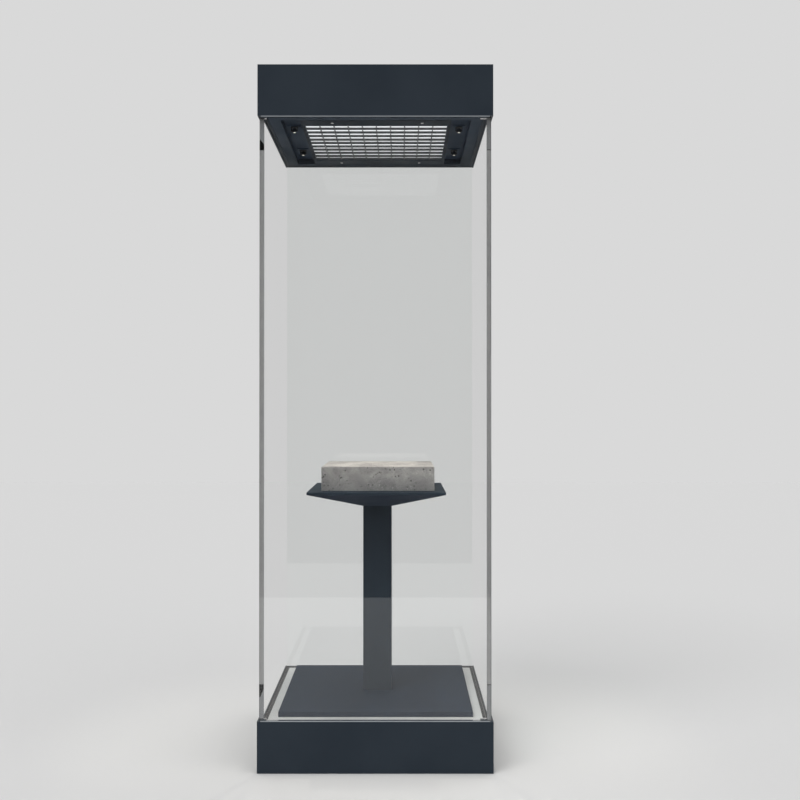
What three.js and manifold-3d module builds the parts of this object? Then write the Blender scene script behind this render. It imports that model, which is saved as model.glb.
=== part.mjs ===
// Pedestal display case: a steel plinth and canopy joined by four glass panes. The front pane is a
// door on corner pivots, shot top and bottom by key-turned rack bolts. Inside stands a post with a
// table and a stone riser, under a recessed light panel with an egg-crate louvre and four spotlights.
// Millimetres, +Z up, the front faces -Y, and the origin is on the floor under the middle of the case.

import * as THREE from "three";
import { mergeVertices } from "three/addons/utils/BufferGeometryUtils.js";
import Module from "manifold-3d";

// ---------------------------------------------------------------- driving dimensions

// Case
const WIDTH = 700; // across the front, over the steel
const DEPTH = 700; // front to back, over the steel
const HEIGHT = 2100; // floor to the top of the canopy
const PLINTH_HEIGHT = 152;
const CANOPY_HEIGHT = 152;
const FLOOR_GAP = 1; // under the plinth's bottom edge
const SHEET = 2; // folded steel sheet
const CORNER_RADIUS = 2; // outside of a folded corner
const FIT = 0.3; // gap between pieces that touch

// Glass and its channels
const PANE = 12.7; // laminated pane
const PANE_INSET = 6; // steel face to the pane's outer face
const PANE_BITE = 16.7; // a fixed pane's edge below the rim
const PANE_JOINT = 1; // silicone joint between a side pane and the back pane
const ARRIS = 0.8; // ground edge of a pane
const CHANNEL_WEB = 3;
const CHANNEL_INNER_LEG = 9;
const GLAZING_LEDGE = 44; // width of the ledge that carries the channels

// Door
const DOOR_GAP = 1.5; // between the door and the rim or soffit
const DOOR_STANDOFF = 3; // door's inner face to the side panes' front edges
const HINGE_GASKET = 1.2;
const SILL_DEPTH = 28; // steel flange under the door, front to back
const PIVOT_INSET = 5; // pivot axis to the door's outer face and to its edge
const PIN_RADIUS = 2.5;
const PIN_CLEARANCE = 0.3;
const PIN_SHOULDER_RADIUS = 6;
const WASHER_RADIUS = 5;
const WASHER = 0.9; // thickness of the washer that carries the door
const SHOE_HEIGHT = 5; // notch in the pane's edge, filled by the shoe
const SHOE_LENGTH = 20;

// Lock: a key-turned pinion drives a toothed bolt into the door's strike shoe
const MODULE = 0.8;
const PINION_TEETH = 10;
const PRESSURE_ANGLE = 30; // degrees
const ADDENDUM = 0.75; // in modules
const DEDENDUM = 0.95; // in modules
const BACKLASH = 0.12;
const CENTRE_CLEARANCE = 0.1; // added to the distance from pinion to rack
const MESH_TEETH = 2; // rack teeth on each side of the pinion's axis, at either end of the travel
const KEY_TURN = 90; // degrees
const BOLT = 6; // square bar
const BOLT_IN = 28; // bolt's axis to the side wall's outer face
const BOLT_PLAY = 0.3;
const BOLT_SUNK = 0.5; // retracted bolt's end below the rim
const BOLT_LEAD = 1; // chamfer on the bolt's end
const PLUG_RADIUS = 5;
const NOSE_RADIUS = 9.5; // lock case's nose, seen in the side wall
const LOCK_CASE_HEIGHT = 30;
const LOCK_CASE_WALL = 3;
const KEYWAY_WIDTH = 1.2;
const KEYWAY_HEIGHT = 6.4;
const KEYWAY_DEPTH = 12;

// Plinth inside
const PAN_HEIGHT = 25; // floor to the base pan's underside
const PAN = 3;
const PAN_UPSTAND = 25;
const SHELF = 12; // narrow ledges for the pan and the lid, and the bottom flange
const FOOT_INSET = 50; // foot's axis to the case's faces
const FOOT_PAD_RADIUS = 22;
const FOOT_PAD = 6;
const FOOT_CHAMFER = 1.5;
const FOOT_HEX = 24; // collar, across its corners
const FOOT_STEM_RADIUS = 8;
const FOOT_STEM = 70; // floor to the top of the stem
const SOCKET_RADIUS = 15;
const SOCKET = 25; // threaded socket above the pan
const LINER_DROP = 1; // rim to the liner's top
const LINER_STRIP = 28.9; // liner seen round the deck
const DECK = 16;

// Pedestal
const POST = 92; // square tube
const POST_WALL = 3;
const POST_CORNER = 3; // outside radius
const POST_CLEARANCE = 0.5; // round the post in the deck and the liner
const FOOT_PLATE = 170;
const FOOT_PLATE_THICKNESS = 8;
const HEAD_PLATE = 150;
const HEAD_PLATE_THICKNESS = 6;
const WIREWAY_RADIUS = 20; // hole through both plates
const TABLE = 430;
const TABLE_HEIGHT = 820; // floor to the table's top
const TABLE_PLATE = 8;
const CONE_HEIGHT = 48;
const CONE_LIP = 1.5; // table plate's edge proud of the cone
const RISER_WIDTH = 354;
const RISER_DEPTH = 354;
const RISER_HEIGHT = 76;
const RISER_RIGHT = 4; // riser's middle from the post's axis
const RISER_BACK = 16;
const RISER_ARRIS = 1.2;

// Canopy inside
const SOFFIT_BAND = 62; // steel face to the edge of the recess, at the sides
const SOFFIT_END_BAND = 57; // and at the front and back
const RECESS_DEPTH = 18;
const TROUGH = 59; // spotlight trough beside the light panel
const PANEL_END_GAP = 3; // light panel to the recess's front and back edges
const PANEL_SIDE_BORDER = 10.5;
const PANEL_END_BORDER = 59.5;
const LOUVRE_PITCH_X = 43.7;
const LOUVRE_PITCH_Y = 45.3;
const LOUVRE_FIRST_ROW = 14.3; // front edge of the opening to the first blade across it
const BLADE_HEIGHT = 6;
const BLADE_FOOT = 3.4; // blade's lower edge
const BLADE_HEAD = 2.4; // blade's upper edge
const LOUVRE_RIM = 4; // rim that rests on the panel's border
const DIFFUSER = 3;
const LIGHT_BOX_HEIGHT = 48;
const LIGHT_BOX_SHEET = 1.5;
const LIGHT_BOX_FLANGE = 14;
const LED_BOARD = 1.6;
const LED_BOARD_MARGIN = 8;
const DRIVER_LENGTH = 200;
const DRIVER_WIDTH = 52;
const DRIVER_HEIGHT = 30;
const DRIVER_TAB = 12;
const DRIVER_SCREW_RADIUS = 2;
const LID = 3;
const LID_DROP = 1; // canopy's top edge to the lid

// Spotlights
const SPOT_SPACING = 304; // front to back
const SPOT_BASE = 39;
const SPOT_BASE_DROP = 2.5;
const YOKE_DISC_RADIUS = 11.5;
const YOKE_DISC = 1.8;
const YOKE_STUB_RADIUS = 3;
const HEAD_RADIUS = 8;
const HEAD_CLEARANCE = 0.4; // round the ball inside the yoke
const HEAD_CUT = 6.4; // ball's middle to its flat front
const EAR = 2; // yoke ear's thickness
const EAR_WIDTH = 8;
const EAR_BELOW_AXIS = 3.5;
const TRUNNION_RADIUS = 1.5;
const LENS_RADIUS = 4;
const LENS = 1.6;

// ---------------------------------------------------------------- sizes worked out from them

const rimZ = FLOOR_GAP + PLINTH_HEIGHT;
const soffitZ = HEIGHT - CANOPY_HEIGHT;
const halfX = WIDTH / 2;
const halfY = DEPTH / 2;
const wallX = halfX - SHEET; // inner faces of the steel walls
const wallY = halfY - SHEET;
const paneX = halfX - PANE_INSET; // outer faces of the panes
const paneY = halfY - PANE_INSET;
const roomX = paneX - PANE; // inner faces of the panes
const roomY = paneY - PANE;
const channelX = roomX - FIT - CHANNEL_INNER_LEG; // inner faces of the channels
const channelY = roomY - FIT - CHANNEL_INNER_LEG;
const channelDepth = PANE_BITE + FIT + CHANNEL_WEB;
const ledgeDepth = channelDepth + FIT; // rim to the glazing ledge
const sideFront = -roomY + DOOR_STANDOFF; // front edge of the side panes
const sillBack = -halfY + SILL_DEPTH;
const trayX = channelX - 2 * FIT; // liner and light tray fit between the channels
const trayBack = channelY - 2 * FIT;
const trayFront = sillBack + FIT;

const pivotX = -paneX + PIVOT_INSET;
const pivotY = -paneY + PIVOT_INSET;

const pitchRadius = (MODULE * PINION_TEETH) / 2;
const rackPitch = Math.PI * MODULE;
const boltTravel = pitchRadius * THREE.MathUtils.degToRad(KEY_TURN);
const boltX = halfX - BOLT_IN;
const boltY = -paneY + PANE / 2;
const rackPitchY = boltY + BOLT / 2 - ADDENDUM * MODULE;
const plugY = rackPitchY + pitchRadius + CENTRE_CLEARANCE;
const lockCaseTop = ledgeDepth + SHEET + FIT; // rim to the lock case
const plugDepth = lockCaseTop + LOCK_CASE_HEIGHT / 2;

const recessX = halfX - SOFFIT_BAND;
const recessY = halfY - SOFFIT_END_BAND;
const panelX = recessX - TROUGH; // light panel
const panelY = recessY - PANEL_END_GAP;
const lightX = panelX - PANEL_SIDE_BORDER; // opening under the louvre
const lightY = panelY - PANEL_END_BORDER;
const louvreX = lightX + LOUVRE_RIM;
const louvreY = lightY + LOUVRE_RIM;
const wellX = louvreX + FIT + SHEET; // outside of the collar round the louvre
const wellY = louvreY + FIT + SHEET;
const trayTop = RECESS_DEPTH + SHEET;
const lightBoxFloor = trayTop + FIT;

const spotX = recessX - TROUGH / 2;
const spotY = SPOT_SPACING / 2;
const yokeTop = RECESS_DEPTH - SPOT_BASE_DROP - FIT;
const yokeUnderside = yokeTop - YOKE_DISC;
const headAxis = yokeUnderside - HEAD_CLEARANCE - HEAD_RADIUS; // soffit up to the tilt axis

// ---------------------------------------------------------------- solids

const manifold = await Module();
manifold.setup();

const AROUND = { fine: 32, round: 20, small: 12 }; // facets of a turned piece

// A closed geometry as a solid for joining and cutting.
function solid(geometry) {
  const bare = geometry.clone();
  bare.deleteAttribute("normal");
  bare.deleteAttribute("uv");
  const merged = mergeVertices(bare, 1e-4);
  const mesh = new manifold.Mesh({
    numProp: 3,
    vertProperties: new Float32Array(merged.attributes.position.array),
    triVerts: new Uint32Array(merged.index.array),
  });
  return new manifold.Manifold(mesh);
}

// A solid as a geometry for a mesh.
function geometryOf(shape) {
  const { numProp, numVert, vertProperties, triVerts } = shape.getMesh();
  const points = new Float32Array(numVert * 3);
  for (let i = 0; i < numVert; i++) {
    points.set(vertProperties.subarray(i * numProp, i * numProp + 3), i * 3);
  }
  const indexed = new THREE.BufferGeometry();
  indexed.setAttribute("position", new THREE.BufferAttribute(points, 3));
  indexed.setIndex(new THREE.BufferAttribute(triVerts, 1));
  const flat = indexed.toNonIndexed();
  flat.computeVertexNormals();
  return flat;
}

const join = (first, ...rest) => rest.reduce((whole, piece) => whole.add(piece), first);
const cut = (first, ...rest) => rest.reduce((whole, tool) => whole.subtract(tool), first);

// A point [a, b] as a vector in the plane of an outline.
const point = ([a, b]) => new THREE.Vector2(a, b);

// A block between two corners, in any order.
function block([x0, x1], [y0, y1], [z0, z1]) {
  const size = [Math.abs(x1 - x0), Math.abs(y1 - y0), Math.abs(z1 - z0)];
  const middle = [(x0 + x1) / 2, (y0 + y1) / 2, (z0 + z1) / 2];
  return solid(new THREE.BoxGeometry(...size).translate(...middle));
}

// A span made longer at both ends, for a tool that cuts right through.
const past = ([from, to], more = 1) => [Math.min(from, to) - more, Math.max(from, to) + more];

// A block that is centred on the Z axis in plan.
const slab = (hx, hy, z) => block([-hx, hx], [-hy, hy], z);

// A flat outline, carried up or down in Z between two heights.
function prism(outline, [z0, z1]) {
  const low = Math.min(z0, z1);
  const depth = Math.abs(z1 - z0);
  const shape = outline instanceof THREE.Shape ? outline : new THREE.Shape(outline);
  return solid(new THREE.ExtrudeGeometry(shape, { depth, bevelEnabled: false }).translate(0, 0, low));
}

// Turns of an extrusion that is drawn in its own X and Y: its outline becomes one in (y, z), carried
// along X, or one in (x, z), carried along -Y.
const facingSide = new THREE.Matrix4().makeBasis(
  new THREE.Vector3(0, 1, 0),
  new THREE.Vector3(0, 0, 1),
  new THREE.Vector3(1, 0, 0),
);
const facingFront = new THREE.Matrix4().makeBasis(
  new THREE.Vector3(1, 0, 0),
  new THREE.Vector3(0, 0, 1),
  new THREE.Vector3(0, -1, 0),
);

// An outline in (y, z), carried along X.
function prismX(points, [x0, x1]) {
  const depth = x1 - x0;
  const prism = new THREE.ExtrudeGeometry(new THREE.Shape(points), { depth, bevelEnabled: false });
  return solid(prism.applyMatrix4(facingSide).translate(x0, 0, 0));
}

// A rectangle in plan with rounded corners.
function roundedRectangle(hx, hy, radius) {
  const shape = new THREE.Shape();
  const corners = [
    [hx - radius, hy - radius, 0],
    [-hx + radius, hy - radius, 90],
    [-hx + radius, -hy + radius, 180],
    [hx - radius, -hy + radius, 270],
  ];
  for (const [x, y, from] of corners) {
    const start = THREE.MathUtils.degToRad(from);
    shape.absarc(x, y, radius, start, start + Math.PI / 2, false);
  }
  return shape;
}

function roundedSlab(hx, hy, radius, [z0, z1]) {
  const options = { depth: Math.abs(z1 - z0), bevelEnabled: false, curveSegments: 3 };
  const body = new THREE.ExtrudeGeometry(roundedRectangle(hx, hy, radius), options);
  return solid(body.translate(0, 0, Math.min(z0, z1)));
}

// A rectangular ring: the stretch between two rectangles.
function ring([outerX, outerY], [innerX, innerY], span) {
  return cut(slab(outerX, outerY, span), slab(innerX, innerY, past(span)));
}

// A round bar along Z, or along X.
function bar(radius, [z0, z1], [x, y] = [0, 0], sides = AROUND.small) {
  const length = Math.abs(z1 - z0);
  const rod = new THREE.CylinderGeometry(radius, radius, length, sides).rotateX(Math.PI / 2);
  return solid(rod.translate(x, y, (z0 + z1) / 2));
}
function barX(radius, [x0, x1], [y, z] = [0, 0], sides = AROUND.small) {
  const length = Math.abs(x1 - x0);
  const rod = new THREE.CylinderGeometry(radius, radius, length, sides).rotateZ(Math.PI / 2);
  return solid(rod.translate((x0 + x1) / 2, y, z));
}

// A profile of [radius, z] points, turned about Z; it starts and ends on the axis, going up.
function turned(profile, sides = AROUND.round) {
  const points = profile.map(([radius, z]) => new THREE.Vector2(radius, z));
  return solid(new THREE.LatheGeometry(points, sides).rotateX(Math.PI / 2));
}

// A plate of glass or stone with ground edges: an outline in plan, thickness along Z.
function platePrism(points, thickness, arris) {
  const plate = new THREE.ExtrudeGeometry(new THREE.Shape(points), {
    depth: thickness - 2 * arris,
    bevelThickness: arris,
    bevelSize: arris,
    bevelOffset: -arris,
    bevelSegments: 1,
  });
  return plate.translate(0, 0, arris);
}

const corners = ([x0, x1], [y0, y1]) =>
  [
    [x0, y0],
    [x1, y0],
    [x1, y1],
    [x0, y1],
  ].map(point);

// ---------------------------------------------------------------- finishes and the scene graph

const finish = (color, roughness, metalness, extra = {}) =>
  new THREE.MeshStandardMaterial({ color, roughness, metalness, ...extra });

const slate = finish(0x2c333a, 0.5, 0.25);
const innerSlate = finish(0x3a4048, 0.55, 0.25);
const anodised = finish(0x33373b, 0.4, 0.7);
const glass = finish(0xdfe8e6, 0.03, 0, { transparent: true, opacity: 0.2 });
const satinAluminium = finish(0xb4b7ba, 0.35, 0.9);
const stainless = finish(0xa9abad, 0.3, 1);
const nylon = finish(0x8c8f92, 0.6, 0);
const gasket = finish(0x808284, 0.6, 0);
const linerPaint = finish(0xb9bcbb, 0.5, 0);
const deckPaint = finish(0x505356, 0.6, 0);
const postPaint = finish(0x31383f, 0.5, 0.25);
const stone = finish(0x8f8f8b, 0.8, 0);
const louvreBlack = finish(0x303336, 0.5, 0);
const opal = finish(0xf2f4f4, 0.5, 0);
const whiteSteel = finish(0xe8e8e6, 0.6, 0.1);
const driverGrey = finish(0x9a9da0, 0.5, 0.4);
const spotBlack = finish(0x23282d, 0.45, 0.3);
const lensClear = finish(0xf4f4ee, 0.1, 0);
const lockChrome = finish(0xb8bbbe, 0.2, 1);

function group(parent, position = [0, 0, 0], name = "") {
  const child = new THREE.Group();
  child.position.set(...position);
  child.name = name;
  parent.add(child);
  return child;
}

function add(parent, name, shape, material, position = [0, 0, 0]) {
  const mesh = new THREE.Mesh(geometryOf(shape), material);
  mesh.name = name;
  mesh.position.set(...position);
  parent.add(mesh);
  return mesh;
}

const displayCase = new THREE.Group();
displayCase.name = "pedestal_display_case";

// The plinth and the canopy mirror each other about the glass. Each is a group whose origin is at its
// glass side, and into is the sign of Z that leads away from the glass.
const plinth = { name: "plinth", into: -1, group: group(displayCase, [0, 0, rimZ], "plinth") };
const canopy = { name: "canopy", into: 1, group: group(displayCase, [0, 0, soffitZ], "canopy") };
const ends = [plinth, canopy];

// A span of depths below the rim, or above the soffit, as a span of Z in the end's group.
const depths = (end, from, to) => [end.into * from, end.into * to];

// ---------------------------------------------------------------- shells

// Holes that the lock and the pivot need in a shell.
function shellOpenings(end) {
  const play = BOLT / 2 + BOLT_PLAY;
  const through = depths(end, -1, ledgeDepth + SHEET + 1);
  const boltSlot = block([boltX - play, boltX + play], [boltY - play, boltY + play], through);
  const pinHole = bar(PIN_RADIUS + PIN_CLEARANCE, depths(end, -1, SHEET + 1), [pivotX, pivotY]);
  const noseSpan = [wallX - 1, halfX + 1];
  const noseHole = barX(NOSE_RADIUS + FIT, noseSpan, [plugY, end.into * plugDepth], AROUND.round);
  return [boltSlot, pinHole, noseHole];
}

// Four walls, the sill under or over the door, and the ledge that carries the glazing channels.
function shellBody(end, height) {
  const outside = roundedSlab(halfX, halfY, CORNER_RADIUS, depths(end, 0, height));
  const walls = cut(outside, slab(wallX, wallY, depths(end, -1, height + 1)));
  const overWall = 0.5 * SHEET;
  const sillEnd = sideFront - FIT;
  const sillX = wallX + overWall;
  const sill = block([-sillX, sillX], [-halfY + overWall, sillEnd], depths(end, 0, SHEET));
  const tongueX = channelX - FIT;
  const tongue = block([-tongueX, tongueX], [sillEnd - 1, sillBack], depths(end, 0, SHEET));
  const ledgeSpan = depths(end, ledgeDepth, ledgeDepth + SHEET);
  const ledge = shelf(GLAZING_LEDGE, ledgeSpan);
  return join(walls, sill, tongue, ledge);
}

// A ledge of the given width round the inside of the walls.
function shelf(width, span) {
  const reach = SHEET / 2;
  return ring([wallX + reach, wallY + reach], [wallX - width, wallY - width], span);
}

function plinthShell() {
  const body = shellBody(plinth, PLINTH_HEIGHT);
  const bottom = shelf(SHELF, depths(plinth, PLINTH_HEIGHT - SHEET, PLINTH_HEIGHT));
  const panTop = rimZ - PAN_HEIGHT + FIT; // rim to the ledge under the pan
  const panLedge = shelf(SHELF, depths(plinth, panTop, panTop + SHEET));
  return cut(join(body, bottom, panLedge), ...shellOpenings(plinth));
}

function canopyShell() {
  const lidLedgeTop = CANOPY_HEIGHT - LID_DROP - LID - FIT;
  const lidLedge = shelf(SHELF, depths(canopy, lidLedgeTop - SHEET, lidLedgeTop));
  return cut(join(shellBody(canopy, CANOPY_HEIGHT), lidLedge), ...shellOpenings(canopy));
}

add(plinth.group, "plinth_shell", plinthShell(), slate);
add(canopy.group, "canopy_shell", canopyShell(), slate);

const lidSpan = depths(canopy, CANOPY_HEIGHT - LID_DROP - LID, CANOPY_HEIGHT - LID_DROP);
add(canopy.group, "canopy_lid", slab(wallX - 2 * FIT, wallY - 2 * FIT, lidSpan), slate);

// ---------------------------------------------------------------- glazing channels

// Plan of a side run of the frame between two offsets from the middle, mitred at the back.
function sidePlan(side, [inner, outer], front, mitre) {
  const skew = halfY - halfX; // the mitre stays at 45 degrees when the plan isn't square
  const back = (x) => x + skew - mitre;
  return [
    [side * inner, front],
    [side * outer, front],
    [side * outer, back(outer)],
    [side * inner, back(inner)],
  ].map(point);
}

// Plan of the back run between two offsets from the middle, mitred at both ends.
function backPlan([inner, outer], mitre) {
  const skew = halfX - halfY;
  const end = (y) => y + skew - mitre;
  return [
    [-end(inner), inner],
    [end(inner), inner],
    [end(outer), outer],
    [-end(outer), outer],
  ].map(point);
}

function glazingChannels(end) {
  const full = depths(end, 0, channelDepth);
  const slot = depths(end, -1, PANE_BITE + FIT);
  const slotSpan = [roomX - FIT, paneX + FIT];
  const sideSpan = [channelX, wallX - FIT];
  const pastMitre = -5; // the slot runs on through the mitre
  for (const [name, side] of [["left", -1], ["right", 1]]) {
    const run = prism(sidePlan(side, sideSpan, sideFront, FIT), full);
    const groove = prism(sidePlan(side, slotSpan, sideFront - 1, pastMitre), slot);
    add(end.group, `${end.name}_channel_${name}`, cut(run, groove), anodised);
  }
  const backSpan = [channelY, wallY - FIT];
  const run = prism(backPlan(backSpan, FIT), full);
  const groove = prism(backPlan([roomY - FIT, paneY + FIT], pastMitre), slot);
  add(end.group, `${end.name}_channel_back`, cut(run, groove), anodised);
}

ends.forEach(glazingChannels);

// ---------------------------------------------------------------- panes

const fixedPaneSpan = [rimZ - PANE_BITE, soffitZ + PANE_BITE];
const glazing = group(displayCase, [0, 0, 0], "glazing");

function fixedPanes() {
  const sideOutline = corners([sideFront, roomY - PANE_JOINT], fixedPaneSpan);
  const sidePane = solid(platePrism(sideOutline, PANE, ARRIS).applyMatrix4(facingSide));
  add(glazing, "pane_left", sidePane, glass, [-paneX, 0, 0]);
  add(glazing, "pane_right", sidePane, glass, [roomX, 0, 0]);
  const backOutline = corners([-paneX, paneX], fixedPaneSpan);
  const backPane = solid(platePrism(backOutline, PANE, ARRIS).applyMatrix4(facingFront));
  add(glazing, "pane_back", backPane, glass, [0, paneY, 0]);
}

// Gaskets on the front edges of the side panes: the door shuts against them. The one by the
// pivots is thinner, because the door's heel swings through there.
function gaskets() {
  const back = sideFront - FIT;
  const span = [rimZ + FIT, soffitZ - FIT];
  const across = [roomX + FIT, paneX - FIT];
  const latchFront = -roomY + FIT;
  const left = across.map((x) => -x);
  add(glazing, "gasket_hinge_side", block(left, [back - HINGE_GASKET, back], span), gasket);
  add(glazing, "gasket_latch_side", block(across, [latchFront, back], span), gasket);
}

fixedPanes();
gaskets();

// ---------------------------------------------------------------- door

const door = group(displayCase, [0, -roomY, 0], "door");
const doorBottom = rimZ + DOOR_GAP;
const doorTop = soffitZ - DOOR_GAP;
const strikeStart = boltX - SHOE_LENGTH / 2;
const strikeEnd = boltX + SHOE_LENGTH / 2;

// The door's outline: a rectangle with a notch for each shoe.
function doorOutline() {
  const low = doorBottom + SHOE_HEIGHT;
  const high = doorTop - SHOE_HEIGHT;
  const heel = -paneX + SHOE_LENGTH;
  return [
    [heel, doorBottom],
    [strikeStart, doorBottom],
    [strikeStart, low],
    [strikeEnd, low],
    [strikeEnd, doorBottom],
    [paneX, doorBottom],
    [paneX, doorTop],
    [strikeEnd, doorTop],
    [strikeEnd, high],
    [strikeStart, high],
    [strikeStart, doorTop],
    [heel, doorTop],
    [heel, high],
    [-paneX, high],
    [-paneX, low],
    [heel, low],
  ].map(point);
}

add(door, "door_pane", solid(platePrism(doorOutline(), PANE, ARRIS).applyMatrix4(facingFront)), glass);

// Metal shoes that fill the notches: one turns on a pivot pin, one takes a bolt.
function doorShoes(end) {
  const edge = end.into > 0 ? doorTop : doorBottom;
  const span = [edge, edge - end.into * (SHOE_HEIGHT - FIT)];
  const hole = [edge + end.into, edge - end.into * (SHOE_HEIGHT + 1)];
  const thickness = [-paneY + roomY + FIT, -FIT];
  const pivotBody = block([-paneX + FIT, -paneX + SHOE_LENGTH - FIT], thickness, span);
  const pivotHole = bar(PIN_RADIUS + PIN_CLEARANCE, hole, [pivotX, pivotY + roomY]);
  add(door, `pivot_shoe_${end.name}`, cut(pivotBody, pivotHole), satinAluminium);
  const half = BOLT / 2 + BOLT_PLAY + 0.5 * FIT;
  const middle = boltY + roomY;
  const strikeBody = block([strikeStart + FIT, strikeEnd - FIT], thickness, span);
  const socket = block([boltX - half, boltX + half], [middle - half, middle + half], hole);
  add(door, `strike_shoe_${end.name}`, cut(strikeBody, socket), satinAluminium);
}

// A pivot pin stands on the glazing ledge and comes through the sill into the door's shoe.
function pivotPin(end) {
  const shoulder = depths(end, SHEET + FIT, ledgeDepth - FIT);
  const shank = depths(end, -(DOOR_GAP + SHOE_HEIGHT - 2 * FIT), ledgeDepth - FIT);
  const pin = join(bar(PIN_SHOULDER_RADIUS, shoulder), bar(PIN_RADIUS, shank));
  add(end.group, `pivot_pin_${end.name}`, pin, stainless, [pivotX, pivotY, 0]);
}

ends.forEach(doorShoes);
ends.forEach(pivotPin);

const washerSpan = [DOOR_GAP - FIT - WASHER, DOOR_GAP - FIT];
const washerHole = bar(PIN_RADIUS + PIN_CLEARANCE, [-1, DOOR_GAP + 1]);
const washer = cut(bar(WASHER_RADIUS, washerSpan, [0, 0], AROUND.round), washerHole);
add(plinth.group, "thrust_washer", washer, nylon, [pivotX, pivotY, 0]);

// ---------------------------------------------------------------- locks

const pressureAngle = THREE.MathUtils.degToRad(PRESSURE_ANGLE);
const toothThickness = rackPitch / 2 - BACKLASH;

// Angle of the involute at a radius, from where it leaves the base circle.
function involute(radius, baseRadius) {
  const angle = Math.acos(Math.min(1, baseRadius / radius));
  return Math.tan(angle) - angle;
}

// The pinion's outline in (y, z) round its axis, with a tooth that faces -Y.
function pinionOutline() {
  const baseRadius = pitchRadius * Math.cos(pressureAngle);
  const rootRadius = pitchRadius - DEDENDUM * MODULE;
  const tipRadius = pitchRadius + ADDENDUM * MODULE;
  const halfTooth = toothThickness / 2 / pitchRadius + involute(pitchRadius, baseRadius);
  const steps = 4; // facets of a tooth's flank
  const radii = [rootRadius];
  for (let i = 0; i <= steps; i++) {
    radii.push(baseRadius + ((tipRadius - baseRadius) * i) / steps);
  }
  const flank = radii.map((r) => [r, halfTooth - involute(Math.max(r, baseRadius), baseRadius)]);
  const outline = [];
  for (let tooth = 0; tooth < PINION_TEETH; tooth++) {
    const facing = Math.PI + (2 * Math.PI * tooth) / PINION_TEETH;
    const rising = flank.map(([r, a]) => [r, facing - a]);
    const falling = flank.map(([r, a]) => [r, facing + a]).reverse();
    for (const [r, a] of [...rising, ...falling]) {
      outline.push(point([r * Math.cos(a), r * Math.sin(a)]));
    }
  }
  return outline;
}

// The bolt's outline in (y, depth): a bar with a chamfered end and a rack on its inner face. A gap
// of the rack faces the pinion at rest, and the plain bar ends as a tooth does.
function boltOutline() {
  const back = boltY - BOLT / 2;
  const tip = boltY + BOLT / 2;
  const root = rackPitchY - DEDENDUM * MODULE;
  const halfTip = toothThickness / 2 - ADDENDUM * MODULE * Math.tan(pressureAngle);
  const halfRoot = toothThickness / 2 + DEDENDUM * MODULE * Math.tan(pressureAngle);
  const toothMiddle = (tooth) => plugDepth + (tooth + 0.5) * rackPitch;
  const first = -MESH_TEETH;
  const last = MESH_TEETH + Math.ceil(boltTravel / rackPitch);
  const outline = [
    [back, BOLT_SUNK + BOLT_LEAD],
    [back + BOLT_LEAD, BOLT_SUNK],
    [tip - BOLT_LEAD, BOLT_SUNK],
    [tip, BOLT_SUNK + BOLT_LEAD],
    [tip, toothMiddle(first - 1) + halfTip],
    [root, toothMiddle(first - 1) + halfRoot],
  ];
  for (let tooth = first; tooth < last; tooth++) {
    const middle = toothMiddle(tooth);
    outline.push([root, middle - halfRoot], [tip, middle - halfTip]);
    outline.push([tip, middle + halfTip], [root, middle + halfRoot]);
  }
  const end = plugDepth + last * rackPitch;
  outline.push([root, end], [back, end]);
  return outline;
}

// The plug turns in the case on an axis along X. Its inner end is cut as the pinion.
function lockPlug() {
  const inner = boltX - BOLT / 2;
  const shoulder = boltX + BOLT / 2 + FIT;
  const pinion = prismX(pinionOutline(), [inner, shoulder + 1]);
  const barrel = barX(PLUG_RADIUS, [shoulder + FIT, halfX], [0, 0], AROUND.round);
  const keyway = block(
    [halfX - KEYWAY_DEPTH, halfX + 1],
    [-KEYWAY_WIDTH / 2, KEYWAY_WIDTH / 2],
    [-KEYWAY_HEIGHT / 2, KEYWAY_HEIGHT / 2],
  );
  return cut(join(pinion, barrel), keyway);
}

function lockCase(end) {
  const span = depths(end, lockCaseTop, lockCaseTop + LOCK_CASE_HEIGHT);
  const axis = [plugY, end.into * plugDepth];
  const inner = boltX - BOLT / 2 - FIT;
  const play = BOLT / 2 + BOLT_PLAY;
  const front = boltY - play - LOCK_CASE_WALL;
  const back = plugY + NOSE_RADIUS + LOCK_CASE_WALL;
  const body = block([inner - LOCK_CASE_WALL, wallX - FIT], [front, back], span);
  const nose = barX(NOSE_RADIUS, [wallX - 1, halfX], axis, AROUND.round);
  const bore = barX(PLUG_RADIUS + FIT, [inner, halfX + 1], axis, AROUND.fine);
  const boltBore = block([boltX - play, boltX + play], [boltY - play, boltY + play], past(span));
  return cut(join(body, nose), bore, boltBore);
}

function lock(end) {
  const outline = boltOutline().map(([y, depth]) => point([y, end.into * depth]));
  const bolt = prismX(outline, [boltX - BOLT / 2, boltX + BOLT / 2]);
  add(end.group, `lock_case_${end.name}`, lockCase(end), stainless);
  add(end.group, `lock_bolt_${end.name}`, bolt, stainless);
  add(end.group, `lock_plug_${end.name}`, lockPlug(), lockChrome, [0, plugY, end.into * plugDepth]);
}

ends.forEach(lock);

// ---------------------------------------------------------------- plinth inside

const footX = halfX - FOOT_INSET;
const footY = halfY - FOOT_INSET;
const footPlaces = [
  ["front_left", -footX, -footY],
  ["front_right", footX, -footY],
  ["back_left", -footX, footY],
  ["back_right", footX, footY],
];

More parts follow.
